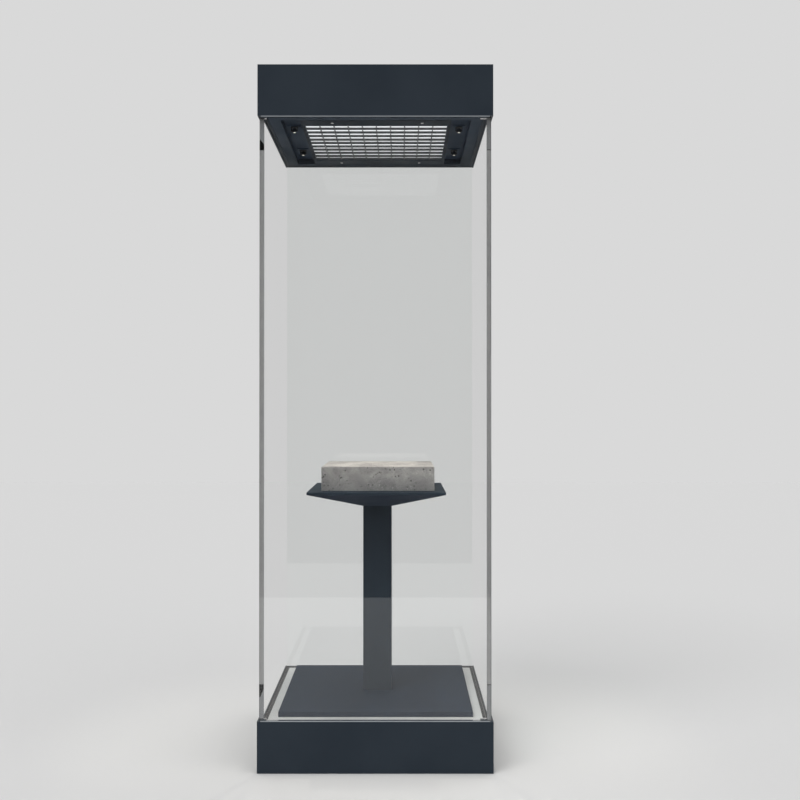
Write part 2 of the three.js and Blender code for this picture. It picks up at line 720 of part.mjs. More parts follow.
function basePan() {
  const hx = wallX - FIT;
  const hy = wallY - FIT;
  const top = PAN_HEIGHT + PAN;
  const plate = slab(hx, hy, [PAN_HEIGHT, top]);
  const upstand = ring([hx, hy], [hx - SHEET, hy - SHEET], [PAN_HEIGHT, top + PAN_UPSTAND]);
  const sockets = footPlaces.map(([, x, y]) =>
    bar(SOCKET_RADIUS, [PAN_HEIGHT, top + SOCKET], [x, y], AROUND.round),
  );
  const bores = footPlaces.map(([, x, y]) =>
    bar(FOOT_STEM_RADIUS + FIT, [PAN_HEIGHT - 1, top + SOCKET + 1], [x, y], AROUND.round),
  );
  return cut(join(plate, upstand, ...sockets), ...bores);
}

// Levelling foot, wound right in: its collar is up against the pan.
function levellingFoot() {
  const collar = FOOT_HEX / 2;
  const pad = turned([
    [0, 0],
    [FOOT_PAD_RADIUS - FOOT_CHAMFER, 0],
    [FOOT_PAD_RADIUS, FOOT_CHAMFER],
    [FOOT_PAD_RADIUS, FOOT_PAD],
    [collar, FOOT_PAD + (FOOT_PAD_RADIUS - collar) / 2],
    [0, FOOT_PAD + (FOOT_PAD_RADIUS - collar) / 2],
  ]);
  const hexagon = bar(collar, [FOOT_PAD, PAN_HEIGHT - FIT], [0, 0], 6);
  const stem = bar(FOOT_STEM_RADIUS, [FOOT_PAD, FOOT_STEM], [0, 0], AROUND.round);
  return join(pad, hexagon, stem);
}

// Inverted tray under the deck: its skirts stand on the glazing ledge.
function floorLiner() {
  const span = (low, high) => [rimZ - low, rimZ - high];
  const outer = block([-trayX, trayX], [trayFront, trayBack], span(channelDepth, LINER_DROP));
  const innerX = trayX - SHEET;
  const hollow = block(
    [-innerX, innerX],
    [trayFront + SHEET, trayBack - SHEET],
    span(channelDepth + 1, LINER_DROP + SHEET),
  );
  return cut(outer, hollow, postOpening(span(LINER_DROP + SHEET, LINER_DROP)));
}

// Hole for the post through a board that spans the given heights.
function postOpening(span) {
  const half = POST / 2 + POST_CLEARANCE;
  return slab(half, half, past(span));
}

function deckBoard() {
  const hx = trayX - LINER_STRIP;
  const hy = trayBack - LINER_STRIP;
  const bottom = rimZ - LINER_DROP + FIT;
  const board = platePrism(corners([-hx, hx], [-hy, hy]), DECK, ARRIS).translate(0, 0, bottom);
  return cut(solid(board), postOpening([bottom, bottom + DECK]));
}

add(displayCase, "base_pan", basePan(), innerSlate);
for (const [place, x, y] of footPlaces) {
  add(displayCase, `levelling_foot_${place}`, levellingFoot(), stainless, [x, y, 0]);
}
add(displayCase, "floor_liner", floorLiner(), linerPaint);
add(displayCase, "deck_board", deckBoard(), deckPaint);

// ---------------------------------------------------------------- pedestal

const tableUnderside = TABLE_HEIGHT - TABLE_PLATE;
const coneBottom = tableUnderside - CONE_HEIGHT;
const coneTop = tableUnderside - FIT;

// Square tube with a foot plate on the pan and a head plate under the table.
function supportPost() {
  const foot = PAN_HEIGHT + PAN + FIT;
  const footTop = foot + FOOT_PLATE_THICKNESS;
  const head = tableUnderside - FIT;
  const headBottom = head - HEAD_PLATE_THICKNESS;
  const half = POST / 2;
  const hollow = half - POST_WALL;
  const tubeSpan = past([footTop, headBottom]);
  const outside = roundedSlab(half, half, POST_CORNER, tubeSpan);
  const tube = cut(outside, slab(hollow, hollow, past(tubeSpan)));
  const footPlate = slab(FOOT_PLATE / 2, FOOT_PLATE / 2, [foot, footTop]);
  const headPlate = slab(HEAD_PLATE / 2, HEAD_PLATE / 2, [headBottom, head]);
  const wireway = bar(WIREWAY_RADIUS, past([foot, head]), [0, 0], AROUND.round);
  return cut(join(tube, footPlate, headPlate), wireway);
}

// A four-sided frustum: half widths at two heights.
function frustum([lowHalf, highHalf], [low, high]) {
  const height = high - low;
  const scale = Math.SQRT2;
  const body = new THREE.CylinderGeometry(highHalf * scale, lowHalf * scale, height, 4);
  return solid(body.rotateY(Math.PI / 4).rotateX(Math.PI / 2).translate(0, 0, (low + high) / 2));
}

// Folded underside of the table, narrowing to the post, with a flange under the table plate.
function tableCone() {
  const low = POST / 2 + FIT + SHEET;
  const high = TABLE / 2 - CONE_LIP;
  const slope = (high - low) / (coneTop - coneBottom);
  const upright = SHEET * Math.hypot(1, 1 / slope); // sheet measured straight up
  const outside = frustum([low, high], [coneBottom, coneTop]);
  const insideTop = coneTop - SHEET;
  const insideHigh = high - slope * (upright + SHEET);
  const insideLow = low - slope * upright;
  const inside = frustum([insideLow, insideHigh], [coneBottom, insideTop]);
  const flangeHalf = insideHigh - SHELF;
  const flangeHole = slab(flangeHalf, flangeHalf, past([insideTop, coneTop]));
  const postHalf = POST / 2 + FIT;
  const postHole = slab(postHalf, postHalf, past([coneBottom, insideTop]));
  return cut(outside, inside, flangeHole, postHole);
}

function riserBlock() {
  const plan = corners([-RISER_WIDTH / 2, RISER_WIDTH / 2], [-RISER_DEPTH / 2, RISER_DEPTH / 2]);
  return solid(platePrism(plan, RISER_HEIGHT, RISER_ARRIS));
}

add(displayCase, "support_post", supportPost(), postPaint);
add(displayCase, "table_cone", tableCone(), postPaint);
add(displayCase, "table_top", slab(TABLE / 2, TABLE / 2, [tableUnderside, TABLE_HEIGHT]), postPaint);
add(displayCase, "riser_block", riserBlock(), stone, [RISER_RIGHT, RISER_BACK, TABLE_HEIGHT + FIT]);

// ---------------------------------------------------------------- light tray and panel

// Soffit tray between the channels: a flange level with the rim of the canopy, a recess with a
// trough on each side of the light panel, and a raised base for each spotlight.
function lightTray() {
  const body = block([-trayX, trayX], [trayFront, trayBack], [0, trayTop]);
  const insideX = trayX - SHEET;
  const insideY = [trayFront + SHEET, trayBack - SHEET];
  const overRecess = slab(recessX + SHEET, recessY + SHEET, past([0, trayTop], 2));
  const gutter = cut(block([-insideX, insideX], insideY, [SHEET, trayTop + 1]), overRecess);
  const recess = slab(recessX, recessY, [-1, RECESS_DEPTH]);
  const lightWell = slab(wellX + FIT, wellY + FIT, past([0, trayTop]));
  const tray = cut(body, gutter, recess, lightWell);
  const halfBase = SPOT_BASE / 2;
  const baseSpan = [RECESS_DEPTH - SPOT_BASE_DROP, RECESS_DEPTH + SHEET / 2];
  const bases = spotPlaces.map(([, x, y]) =>
    block([x - halfBase, x + halfBase], [y - halfBase, y + halfBase], baseSpan),
  );
  const stubHoles = spotPlaces.map(([, x, y]) =>
    bar(YOKE_STUB_RADIUS + FIT, past([0, trayTop]), [x, y]),
  );
  return cut(join(tray, ...bases), ...stubHoles);
}

// Light panel: a shallow box whose bottom is level with the soffit, open under the louvre, with a
// collar that keeps the louvre and the diffuser in line.
function lightPanel() {
  const top = RECESS_DEPTH - FIT;
  const floor = ring([panelX, panelY], [lightX, lightY], [0, SHEET]);
  const sides = ring([panelX, panelY], [panelX - SHEET, panelY - SHEET], [0, top]);
  const collar = ring([wellX, wellY], [louvreX + FIT, louvreY + FIT], [SHEET / 2, top]);
  return join(floor, sides, collar);
}

// One cell of the louvre: the space between four blades, which widens upwards as the blades thin.
function louvreCell([x0, x1], [y0, y1]) {
  const beyond = 1; // the tool runs on past both faces of the grid
  const flare = ((BLADE_FOOT - BLADE_HEAD) / 2) * (1 + beyond / BLADE_HEIGHT);
  const pinch = ((BLADE_FOOT - BLADE_HEAD) / 2) * (beyond / BLADE_HEIGHT);
  const cell = new THREE.BoxGeometry(x1 - x0, y1 - y0, BLADE_HEIGHT + 2 * beyond);
  const points = cell.attributes.position;
  for (let i = 0; i < points.count; i++) {
    const grow = points.getZ(i) > 0 ? flare : -pinch;
    points.setX(i, points.getX(i) + Math.sign(points.getX(i)) * grow);
    points.setY(i, points.getY(i) + Math.sign(points.getY(i)) * grow);
  }
  return solid(cell.translate((x0 + x1) / 2, (y0 + y1) / 2, BLADE_HEIGHT / 2));
}

// Spans between blades across an opening, from blade middles at the given places.
function gaps([start, end], middles) {
  const starts = [start, ...middles.map((at) => at + BLADE_FOOT / 2)];
  const stops = [...middles.map((at) => at - BLADE_FOOT / 2), end];
  return starts.map((from, i) => [from, stops[i]]).filter(([from, to]) => to - from > BLADE_HEAD);
}

// Egg-crate louvre. The columns share the opening evenly; the rows keep their pitch, as a grid cut
// to length does, so the first and the last are narrow.
function louvreGrid() {
  const columns = Math.round((2 * lightX) / LOUVRE_PITCH_X);
  const rows = Math.ceil((2 * lightY - LOUVRE_FIRST_ROW) / LOUVRE_PITCH_Y);
  const columnPitch = (2 * lightX) / columns;
  const columnBlades = Array.from({ length: columns - 1 }, (_, i) => columnPitch * (i + 1) - lightX);
  const firstRow = LOUVRE_FIRST_ROW - lightY;
  const rowBlades = Array.from({ length: rows }, (_, i) => firstRow + LOUVRE_PITCH_Y * i);
  const across = gaps([-lightX, lightX], columnBlades);
  const along = gaps([-lightY, lightY], rowBlades);
  const cells = across.flatMap((xSpan) => along.map((ySpan) => louvreCell(xSpan, ySpan)));
  return cut(slab(louvreX, louvreY, [0, BLADE_HEIGHT]), ...cells);
}

// Housing over the louvre, open below; the LED board hangs under its top.
function lightBox() {
  const wall = LIGHT_BOX_SHEET;
  const top = lightBoxFloor + LIGHT_BOX_HEIGHT;
  const insideX = wellX + FIT;
  const insideY = wellY + FIT;
  const box = slab(insideX + wall, insideY + wall, [lightBoxFloor, top]);
  const flangeX = insideX + LIGHT_BOX_FLANGE;
  const flangeY = insideY + LIGHT_BOX_FLANGE;
  const flange = slab(flangeX, flangeY, [lightBoxFloor, lightBoxFloor + wall]);
  return cut(join(box, flange), slab(insideX, insideY, [lightBoxFloor - 1, top - wall]));
}

// LED driver: a case with a screw tab at each end.
function ledDriver() {
  const floor = lightBoxFloor + LIGHT_BOX_HEIGHT + FIT;
  const body = slab(DRIVER_LENGTH / 2, DRIVER_WIDTH / 2, [floor, floor + DRIVER_HEIGHT]);
  const tabs = slab(DRIVER_LENGTH / 2 + DRIVER_TAB, DRIVER_WIDTH / 4, [floor, floor + SHEET]);
  const screwAt = DRIVER_LENGTH / 2 + DRIVER_TAB / 2;
  const tabSpan = past([floor, floor + SHEET]);
  const holes = [-1, 1].map((side) => bar(DRIVER_SCREW_RADIUS, tabSpan, [side * screwAt, 0]));
  return cut(join(body, tabs), ...holes);
}

const spotPlaces = [
  ["front_left", -spotX, -spotY],
  ["front_right", spotX, -spotY],
  ["back_left", -spotX, spotY],
  ["back_right", spotX, spotY],
];

const louvreFloor = SHEET + FIT;
const diffuserFloor = louvreFloor + BLADE_HEIGHT + FIT;
const boardTop = lightBoxFloor + LIGHT_BOX_HEIGHT - LIGHT_BOX_SHEET - FIT;
const boardX = wellX - LED_BOARD_MARGIN;
const boardY = wellY - LED_BOARD_MARGIN;

add(canopy.group, "light_tray", lightTray(), innerSlate);
add(canopy.group, "light_panel", lightPanel(), innerSlate);
add(canopy.group, "louvre_grid", louvreGrid(), louvreBlack, [0, 0, louvreFloor]);
add(canopy.group, "diffuser", slab(louvreX, louvreY, [diffuserFloor, diffuserFloor + DIFFUSER]), opal);
add(canopy.group, "light_box", lightBox(), whiteSteel);
add(canopy.group, "led_board", slab(boardX, boardY, [boardTop - LED_BOARD, boardTop]), whiteSteel);
add(canopy.group, "led_driver", ledDriver(), driverGrey);

// ---------------------------------------------------------------- spotlights

// The yoke hangs from its stub and turns about Z. Its ears carry the head's trunnions.
function spotYoke() {
  const inDisc = (yokeUnderside + yokeTop) / 2;
  const stub = bar(YOKE_STUB_RADIUS, [inDisc, trayTop + SHEET]);
  const disc = bar(YOKE_DISC_RADIUS, [yokeUnderside, yokeTop], [0, 0], AROUND.round);
  const inner = HEAD_RADIUS + HEAD_CLEARANCE;
  const outer = inner + EAR;
  const earSpan = [headAxis - EAR_BELOW_AXIS, inDisc];
  const ears = [-1, 1].map((side) =>
    block([side * inner, side * outer], [-EAR_WIDTH / 2, EAR_WIDTH / 2], earSpan),
  );
  const pinHoles = barX(TRUNNION_RADIUS + FIT, past([-outer, outer]), [0, headAxis]);
  return cut(join(stub, disc, ...ears), pinHoles);
}

// The head is a ball with a flat front, a cup for the lens and two trunnions. Its origin is the
// middle of the ball.
function spotHead() {
  const steps = 7; // facets from the flat front to the top
  const from = -Math.asin(HEAD_CUT / HEAD_RADIUS);
  const profile = [[0, -HEAD_CUT]];
  for (let i = 0; i <= steps; i++) {
    const angle = from + ((Math.PI / 2 - from) * i) / steps;
    profile.push([i < steps ? HEAD_RADIUS * Math.cos(angle) : 0, HEAD_RADIUS * Math.sin(angle)]);
  }
  const cup = bar(LENS_RADIUS + FIT, [-HEAD_CUT - 1, -HEAD_CUT + LENS], [0, 0], AROUND.round);
  const reach = HEAD_RADIUS + HEAD_CLEARANCE + EAR;
  const trunnions = barX(TRUNNION_RADIUS, [-reach, reach]);
  return cut(join(turned(profile), trunnions), cup);
}

const lensDisc = bar(LENS_RADIUS, [-HEAD_CUT, -HEAD_CUT + LENS - FIT], [0, 0], AROUND.round);

for (const [place, x, y] of spotPlaces) {
  const spot = group(canopy.group, [x, y, 0], `spotlight_${place}`);
  add(spot, `spot_yoke_${place}`, spotYoke(), spotBlack);
  add(spot, `spot_head_${place}`, spotHead(), spotBlack, [0, 0, headAxis]);
  add(spot, `spot_lens_${place}`, lensDisc, lensClear, [0, 0, headAxis]);
}

export default displayCase;
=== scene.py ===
"""Looks of a pedestal display case: glass, powder-coated steel, stone, lights and small trim.

Metres, +Z up, the front of the case faces -Y. Every finish is a node tree written as expressions,
and every new piece is a surface worked out with numpy.
"""

import math

import bpy
import numpy as np
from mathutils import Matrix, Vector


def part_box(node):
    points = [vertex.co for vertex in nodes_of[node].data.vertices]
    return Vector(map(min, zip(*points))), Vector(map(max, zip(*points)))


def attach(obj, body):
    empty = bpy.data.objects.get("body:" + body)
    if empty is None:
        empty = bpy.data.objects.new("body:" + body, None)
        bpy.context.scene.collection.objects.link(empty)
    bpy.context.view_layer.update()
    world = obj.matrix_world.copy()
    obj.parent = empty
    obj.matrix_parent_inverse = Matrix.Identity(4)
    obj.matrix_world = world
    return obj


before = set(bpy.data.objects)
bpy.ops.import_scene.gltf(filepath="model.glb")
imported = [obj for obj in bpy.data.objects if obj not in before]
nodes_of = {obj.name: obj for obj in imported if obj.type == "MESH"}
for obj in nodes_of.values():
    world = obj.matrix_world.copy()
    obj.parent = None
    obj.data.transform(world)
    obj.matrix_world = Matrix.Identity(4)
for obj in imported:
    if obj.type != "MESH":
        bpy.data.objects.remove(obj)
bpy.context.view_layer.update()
MM = 0.001
X, Y, Z = 0, 1, 2  # the axes of a point or of a box's corner
ENDS = ("plinth", "canopy")
CORNERS = ("front_left", "front_right", "back_left", "back_right")

# ---------------------------------------------------------------- camera and surroundings

CAMERA_PLACE = (0.0732, -3.5265, 1.0816)
CAMERA_PITCH = 0.406  # degrees above the level
FOCAL_LENGTH = 1073.25  # in pixels of a picture 800 pixels wide
SENSOR = 36.0  # millimetres
PICTURE_WIDTH = 800

BACKDROP = 0.694  # linear grey of the backdrop and of the lit floor
DOME = 0.56  # soft light from all round
DIM_ROOM = 0.045  # what glass and metal mirror away from the backdrop
BACKDROP_SEEN = (0.45, 0.8)  # how far towards +Y a mirrored ray starts to see it, and sees it whole

FLOOR_BOUNCE = 0.42  # the floor's grey for the light that it throws on the case
FLOOR_ROUGH = 0.9
FLOOR_FRONT = -3.27  # the pale floor ends here, in front of the case
FLOOR_SIDE = 9.0
FLOOR_BACK = 12.0

# Sun-like lamps: name, azimuth in degrees (0 in front of the case, negative to its left), elevation
# in degrees, strength, and spread in degrees
LAMPS = [
    ("key", -38, 52, 1.05, 35),
    ("fill", 55, 40, 0.45, 60),
    ("rim", 165, 45, 0.35, 60),
]

SPOT_POWER = 9.5
SPOT_BEAM = 52  # degrees
SPOT_SOFTNESS = 0.7  # share of the beam that its soft edge takes
SPOT_SOURCE = 3 * MM  # radius of the light's source
SPOT_DROP = 1.5 * MM  # the light stands this far under the lens
SPOT_COLOUR = (1.0, 0.93, 0.82)

GLASS_BOUNCES = 24  # enough for what is seen through several panes
MIRROR_BOUNCES = 16

# ---------------------------------------------------------------- node trees as expressions


class Value:
    """What a node gives out. Sums and products of numbers, and the methods here, add Math nodes."""

    def __init__(self, tree, socket):
        self.tree = tree
        self.socket = socket

    def maths(self, operation, *terms):
        """A Math node on terms, each of them a number or a Value."""
        return self.tree.node("Math", {"operation": operation}, dict(enumerate(terms)))

    def __add__(self, other):
        return self.maths("ADD", self, other)

    def __sub__(self, other):
        return self.maths("SUBTRACT", self, other)

    def __rsub__(self, other):
        return self.maths("SUBTRACT", other, self)

    def __mul__(self, other):
        return self.maths("MULTIPLY", self, other)

    __radd__ = __add__
    __rmul__ = __mul__

    def least(self, other):
        return self.maths("MINIMUM", self, other)

    def most(self, other):
        return self.maths("MAXIMUM", self, other)

    def size(self):
        return self.maths("ABSOLUTE", self)

    def root(self):
        return self.maths("SQRT", self)

    def sine(self):
        return self.maths("SINE", self)

    def fraction(self):
        """What is left of it past its whole number."""
        return self.maths("FRACT", self)

    def bearing(self, across):
        """The angle in radians, from the first axis, of the direction (across, self)."""
        return self.maths("ARCTAN2", self, across)


class Nodes:
    """A node tree written as expressions. Tones are red, green and blue."""

    def __init__(self, tree):
        tree.nodes.clear()
        self.tree = tree

    def node(self, kind, settings=None, sockets=None, out=0):
        """Adds a node, applies its settings, fills its sockets and gives one of its outputs."""
        made = self.tree.nodes.new("ShaderNode" + kind)
        for name, setting in (settings or {}).items():
            setattr(made, name, setting)
        for name, given in (sockets or {}).items():
            if isinstance(given, Value):
                self.tree.links.new(given.socket, made.inputs[name])
            else:
                made.inputs[name].default_value = given
        return Value(self, made.outputs[out])

    def place(self):
        """The point on the piece, in the case's own frame."""
        return self.node("TexCoord", out="Object")

    def light_path(self, out):
        """One of the facts about the ray that looks at the surface."""
        return self.node("LightPath", out=out)

    def axes(self, point):
        return [self.node("SeparateXYZ", None, {0: point}, out) for out in range(3)]

    def stretched(self, point, scale):
        return self.node("Mapping", None, {"Vector": point, "Scale": scale})

    def noise(self, point, scale, detail=2.0, rough=0.5, warp=0.0):
        sockets = {"Vector": point, "Scale": scale, "Detail": detail}
        return self.node("TexNoise", None, {**sockets, "Roughness": rough, "Distortion": warp})

    def cells(self, point, scale):
        """The distance to the nearest of many scattered points, as a share of their spacing."""
        return self.node("TexVoronoi", {"feature": "F1"}, {"Vector": point, "Scale": scale})

    def smooth(self, value, low, high, start=0.0, end=1.0):
        """Goes smoothly from start to end while value goes from low to high."""
        sockets = {"Value": value, "From Min": low, "From Max": high, "To Min": start, "To Max": end}
        return self.node("MapRange", {"interpolation_type": "SMOOTHSTEP"}, sockets)

    def falls(self, value, low, high):
        """Goes smoothly from 1 to 0 while value goes from low to high."""
        return self.smooth(value, low, high, 1.0, 0.0)

    def blend(self, share, first, second):
        """The first tone where share is 0, and the second where it is 1."""
        sockets = {0: share, 6: colour(first), 7: colour(second)}
        return self.node("Mix", {"data_type": "RGBA"}, sockets, out=2)

    def bump(self, height, distance):
        return self.node("Bump", None, {"Height": height, "Distance": distance, "Strength": 1.0})

    def principled(self, **sockets):
        return self.node("BsdfPrincipled", None, {k.replace("_", " "): v for k, v in sockets.items()})

    def see_through(self, tone):
        return self.node("BsdfTransparent", None, {"Color": colour(tone)})

    def mix(self, share, first, second):
        """The first surface where share is 0, and the second where it is 1."""
        return self.node("MixShader", None, {0: share, 1: first, 2: second})


def colour(tone):
    """A tone as a socket takes it. What a node gives out stays as it is."""
    return tone if isinstance(tone, Value) else (*tone, 1.0)


def grey(level):
    return (level, level, level)


def about(middle, spread):
    """A low and a high value, spread below and above the middle."""
    return middle - spread, middle + spread


def finish(name, write):
    """A material whose tree write(nodes) fills in; write gives the surface shader."""
    material = bpy.data.materials.new(name)
    material.use_nodes = True
    nodes = Nodes(material.node_tree)
    shader = write(nodes)
    output = material.node_tree.nodes.new("ShaderNodeOutputMaterial")
    material.node_tree.links.new(shader.socket, output.inputs["Surface"])
    return material


def edges_of(nodes, point, box, width):
    """1 on the edges of a box, falling to 0 at width from them.

    On a face of the box one of the three distances to its faces is zero, so the middle one of the
    three is the distance to the nearest edge.
    """
    low, high = box
    near = []
    for value, start, end in zip(nodes.axes(point), low, high):
        near.append((value - start).least(end - value))
    a, b, c = near
    middle = a.least(b).most(a.most(b).least(c))
    return nodes.falls(middle, 0.0, width)


# ---------------------------------------------------------------- tones and patterns

SLATE = (0.0235, 0.0335, 0.0465)
SLATE_LIGHT = (0.0285, 0.0395, 0.0535)
SLATE_SOFFIT = (0.028, 0.041, 0.058)
# Painted light: a paler tone for the front of the light tray's flange
SOFFIT_FRONT_PAINTED_LIGHT = (0.078, 0.104, 0.143)
# Painted shade: a deeper tone inside the light recess
RECESS_PAINTED_SHADE = (0.042, 0.064, 0.100)
SLATE_PANEL = (0.019, 0.031, 0.046)
# Painted light: a paler tone for the recess's front and back walls
RECESS_END_PAINTED_LIGHT = (0.055, 0.068, 0.088)
SLATE_POST = (0.030, 0.0425, 0.058)
SLATE_POST_LIGHT = (0.034, 0.0475, 0.064)
SLATE_TABLE = (0.040, 0.054, 0.072)
# Painted light: the downward-facing cone is painted paler to make up for the light it lacks
CONE_PAINTED_LIGHT = (0.062, 0.079, 0.110)
CONE_PAINTED_LIGHT_PALE = (0.072, 0.092, 0.126)
WORN_EDGE = (0.06, 0.074, 0.09)

CHANNEL_ALLOY = grey(0.026)
TURNED_STEEL = (0.46, 0.46, 0.47)
PLUG_CHROME = (0.62, 0.62, 0.63)
FOOT_ZINC = (0.40, 0.41, 0.42)
SCREW_STEEL = grey(0.6)

# The dark and the light tone of finishes that are mottled between two
DECK = ((0.020, 0.031, 0.049), (0.029, 0.040, 0.060))
DECK_EDGE = (0.05, 0.056, 0.064)
LINER = ((0.54, 0.56, 0.565), (0.61, 0.625, 0.625))
LINER_EDGE = grey(0.52)
WHITE_STEEL = ((0.74, 0.74, 0.72), (0.8, 0.8, 0.78))
WHITE_STEEL_EDGE = grey(0.8)
DRIVER_PAINT = ((0.28, 0.29, 0.30), (0.34, 0.35, 0.36))
DRIVER_EDGE = grey(0.4)
SHOE_COAT = ((0.07, 0.08, 0.09), (0.09, 0.10, 0.11))
LOUVRE_BLACK = ((0.12, 0.125, 0.13), (0.15, 0.155, 0.16))
SPOT_BLACK = ((0.014, 0.019, 0.025), (0.020, 0.026, 0.033))
WASHER_NYLON = ((0.24, 0.25, 0.26), (0.31, 0.32, 0.33))
PLINTH_LIP = (grey(0.24), grey(0.28))
CANOPY_LIP = ((0.13, 0.13, 0.135), (0.16, 0.16, 0.165))
# Painted reflection: the door seals' pale tone stands in for light lines along the door's edges
DOOR_SEAL_AND_REFLECTION = ((0.30, 0.325, 0.35), (0.35, 0.375, 0.40))
# Painted shade: the dark wedges on the hinge-side seal
WEDGE_SHADE = (grey(0.004), grey(0.007))

# A corner seal's pale and deep tone, and its darker tone at both ends: painted light and shade
# that copy the light carried in the glass edge beside it
HINGE_SEAL_EDGE_LIGHT = (grey(0.42), grey(0.37), (0.295, 0.302, 0.312))
LATCH_SEAL_EDGE_LIGHT = (grey(0.38), grey(0.34), (0.272, 0.28, 0.287))

# Specular levels
SOFT_SHEEN = 0.3  # silicone and honed stone
FLAT_SHEEN = 0.18  # matt paint and mouldings
FAINT_SHEEN = 0.05  # coats that hardly shine
PANEL_SHEEN = 0.04
WEDGE_SHEEN = 0.03

# Noise patterns: features in a metre (1 on points that are stretched already), detail, and then
# roughness and warp where they aren't the usual ones
COAT_CLOUDS = (5.0, 3.0)
COAT_GRAIN = (1400.0, 1.0)
COAT_PEEL = (420.0, 2.0, 0.45)
COAT_RUBBING = (60.0, 3.0)
COAT_GLOSS = (9.0, 4.0)
METAL_LINES = (1.0, 3.0, 0.6)
METAL_CLOUDS = (40.0, 2.0)
SEAL_STREAKS = (1.0, 3.0)
BOARD_CLOUDS = (3.5, 4.0, 0.6)
MOULDED_GRAIN = (1600.0, 2.0)
MOULDED_CLOUDS = (30.0, 2.0)
NYLON_SKIN = (800.0, 2.0)
OPAL_SPECKLE = (700.0, 1.0)
STONE_CLOUDS = (13.0, 6.0, 0.62, 0.5)
STONE_GRAIN = (520.0, 3.0, 0.7)
STONE_FINE = (85.0, 5.0, 0.65, 0.8)
STONE_RIPPLE = (58.0, 1.0, 0.5, 1.4)
SHELL_BEDS = (21.0, 2.0)
PORE_BEDS = (34.0, 2.0)

# The stretches of a noise's values that one tone takes to go into another
MOST = (0.3, 0.7)
CORE = (0.35, 0.65)
BED = (0.48, 0.56)  # from outside a patch to inside it

# ---------------------------------------------------------------- finishes

RUBBED_WIDTH = 1.6 * MM
PEEL_DEPTH = 0.02 * MM


def powder_coat(name, box, dark=SLATE, light=SLATE_LIGHT, rough=0.5, sheen=FLAT_SHEEN):
    """Fine orange peel, faint clouds of tone and slightly rubbed edges."""

    def write(nodes):
        point = nodes.place()
        clouds = nodes.noise(point, *COAT_CLOUDS)
        grain = nodes.noise(point, *COAT_GRAIN)
        tone = nodes.smooth(clouds * 0.8 + grain * 0.2, *CORE)
        painted = nodes.blend(tone, dark, light)
        rubbed = edges_of(nodes, point, box, RUBBED_WIDTH)
        patchy = rubbed * nodes.smooth(nodes.noise(point, *COAT_RUBBING), 0.35, 0.7, 0.25, 0.8)
        peel = nodes.noise(point, *COAT_PEEL)
        return nodes.principled(
            Base_Color=nodes.blend(patchy, painted, WORN_EDGE),
            Roughness=nodes.smooth(nodes.noise(point, *COAT_GLOSS), *MOST, *about(rough, 0.05)),
            Specular_IOR_Level=sheen,
            Normal=nodes.bump(peel + grain * 0.3, PEEL_DEPTH),
        )

    return finish(name, write)


FLANGE_THICK = 1.0 * MM  # the tray's flange, from its lowest face up
FLANGE_FADE = 0.3  # its painted light fades out from this far before the middle of the case to as far behind it
RECESS_END = 292 * MM  # the recess's front and back walls, that the room's light reaches: painted light makes them paler
RECESS_STEP = 0.5 * MM  # over this height or depth one tone goes into the next


def recessed_coat(name, box):
    """Sprayed tray with painted light and shade: its flange is painted paler to the front, its recess is
    painted darker as shade, and the recess's end walls are painted paler as light."""
    flange = box[0][Z] + FLANGE_THICK

    def write(nodes):
        point = nodes.place()
        _, deep, height = nodes.axes(point)
        clouds = nodes.noise(point, *COAT_CLOUDS)
        inside = nodes.smooth(height, flange - RECESS_STEP, flange)
        # Painted light and shade: paler to the front, deeper in the recess, paler on its end walls
        to_back = nodes.smooth(deep, -FLANGE_FADE, FLANGE_FADE)
        plain = nodes.blend(to_back, SOFFIT_FRONT_PAINTED_LIGHT, SLATE_SOFFIT)
        toned = nodes.blend(inside, plain, RECESS_PAINTED_SHADE)
        end = nodes.smooth(deep.size(), RECESS_END, RECESS_END + RECESS_STEP) * inside
        walled = nodes.blend(end, toned, RECESS_END_PAINTED_LIGHT)
        peel = nodes.noise(point, *COAT_PEEL)
        return nodes.principled(
            Base_Color=nodes.blend(nodes.smooth(clouds, *MOST, 0.0, 0.25), walled, SLATE),
            Roughness=nodes.smooth(clouds, *MOST, 0.5, 0.6),
            Specular_IOR_Level=FAINT_SHEEN,
            Normal=nodes.bump(peel, PEEL_DEPTH),
        )

    return finish(name, write)


ACROSS_LINES = 1800.0  # lines in a metre, across them
ALONG_LINES = 25.0  # features in a metre, along them
LINE_DEPTH = 0.006 * MM


def drawn_metal(name, tone, along, rough=0.32, grain=0.06):
    """Drawn or extruded metal: fine lines that run along one axis."""
    scale = [ACROSS_LINES] * 3
    scale[along] = ALONG_LINES
    pale = [min(1.0, part * 1.25) for part in tone]
    deep = [part * 0.8 for part in tone]

    def write(nodes):
        point = nodes.place()
        lines = nodes.noise(nodes.stretched(point, scale), *METAL_LINES)
        clouds = nodes.noise(point, *METAL_CLOUDS)
        share = nodes.smooth(lines * 0.7 + clouds * 0.3, *MOST)
        return nodes.principled(
            Base_Color=nodes.blend(share, deep, pale),
            Metallic=1.0,
            Roughness=nodes.smooth(lines, *MOST, *about(rough, grain)),
            Normal=nodes.bump(lines, LINE_DEPTH),
        )

    return finish(name, write)


DOOR_TINT = grey(0.957)
PANE_TINT = (0.985, 1.0, 0.992)
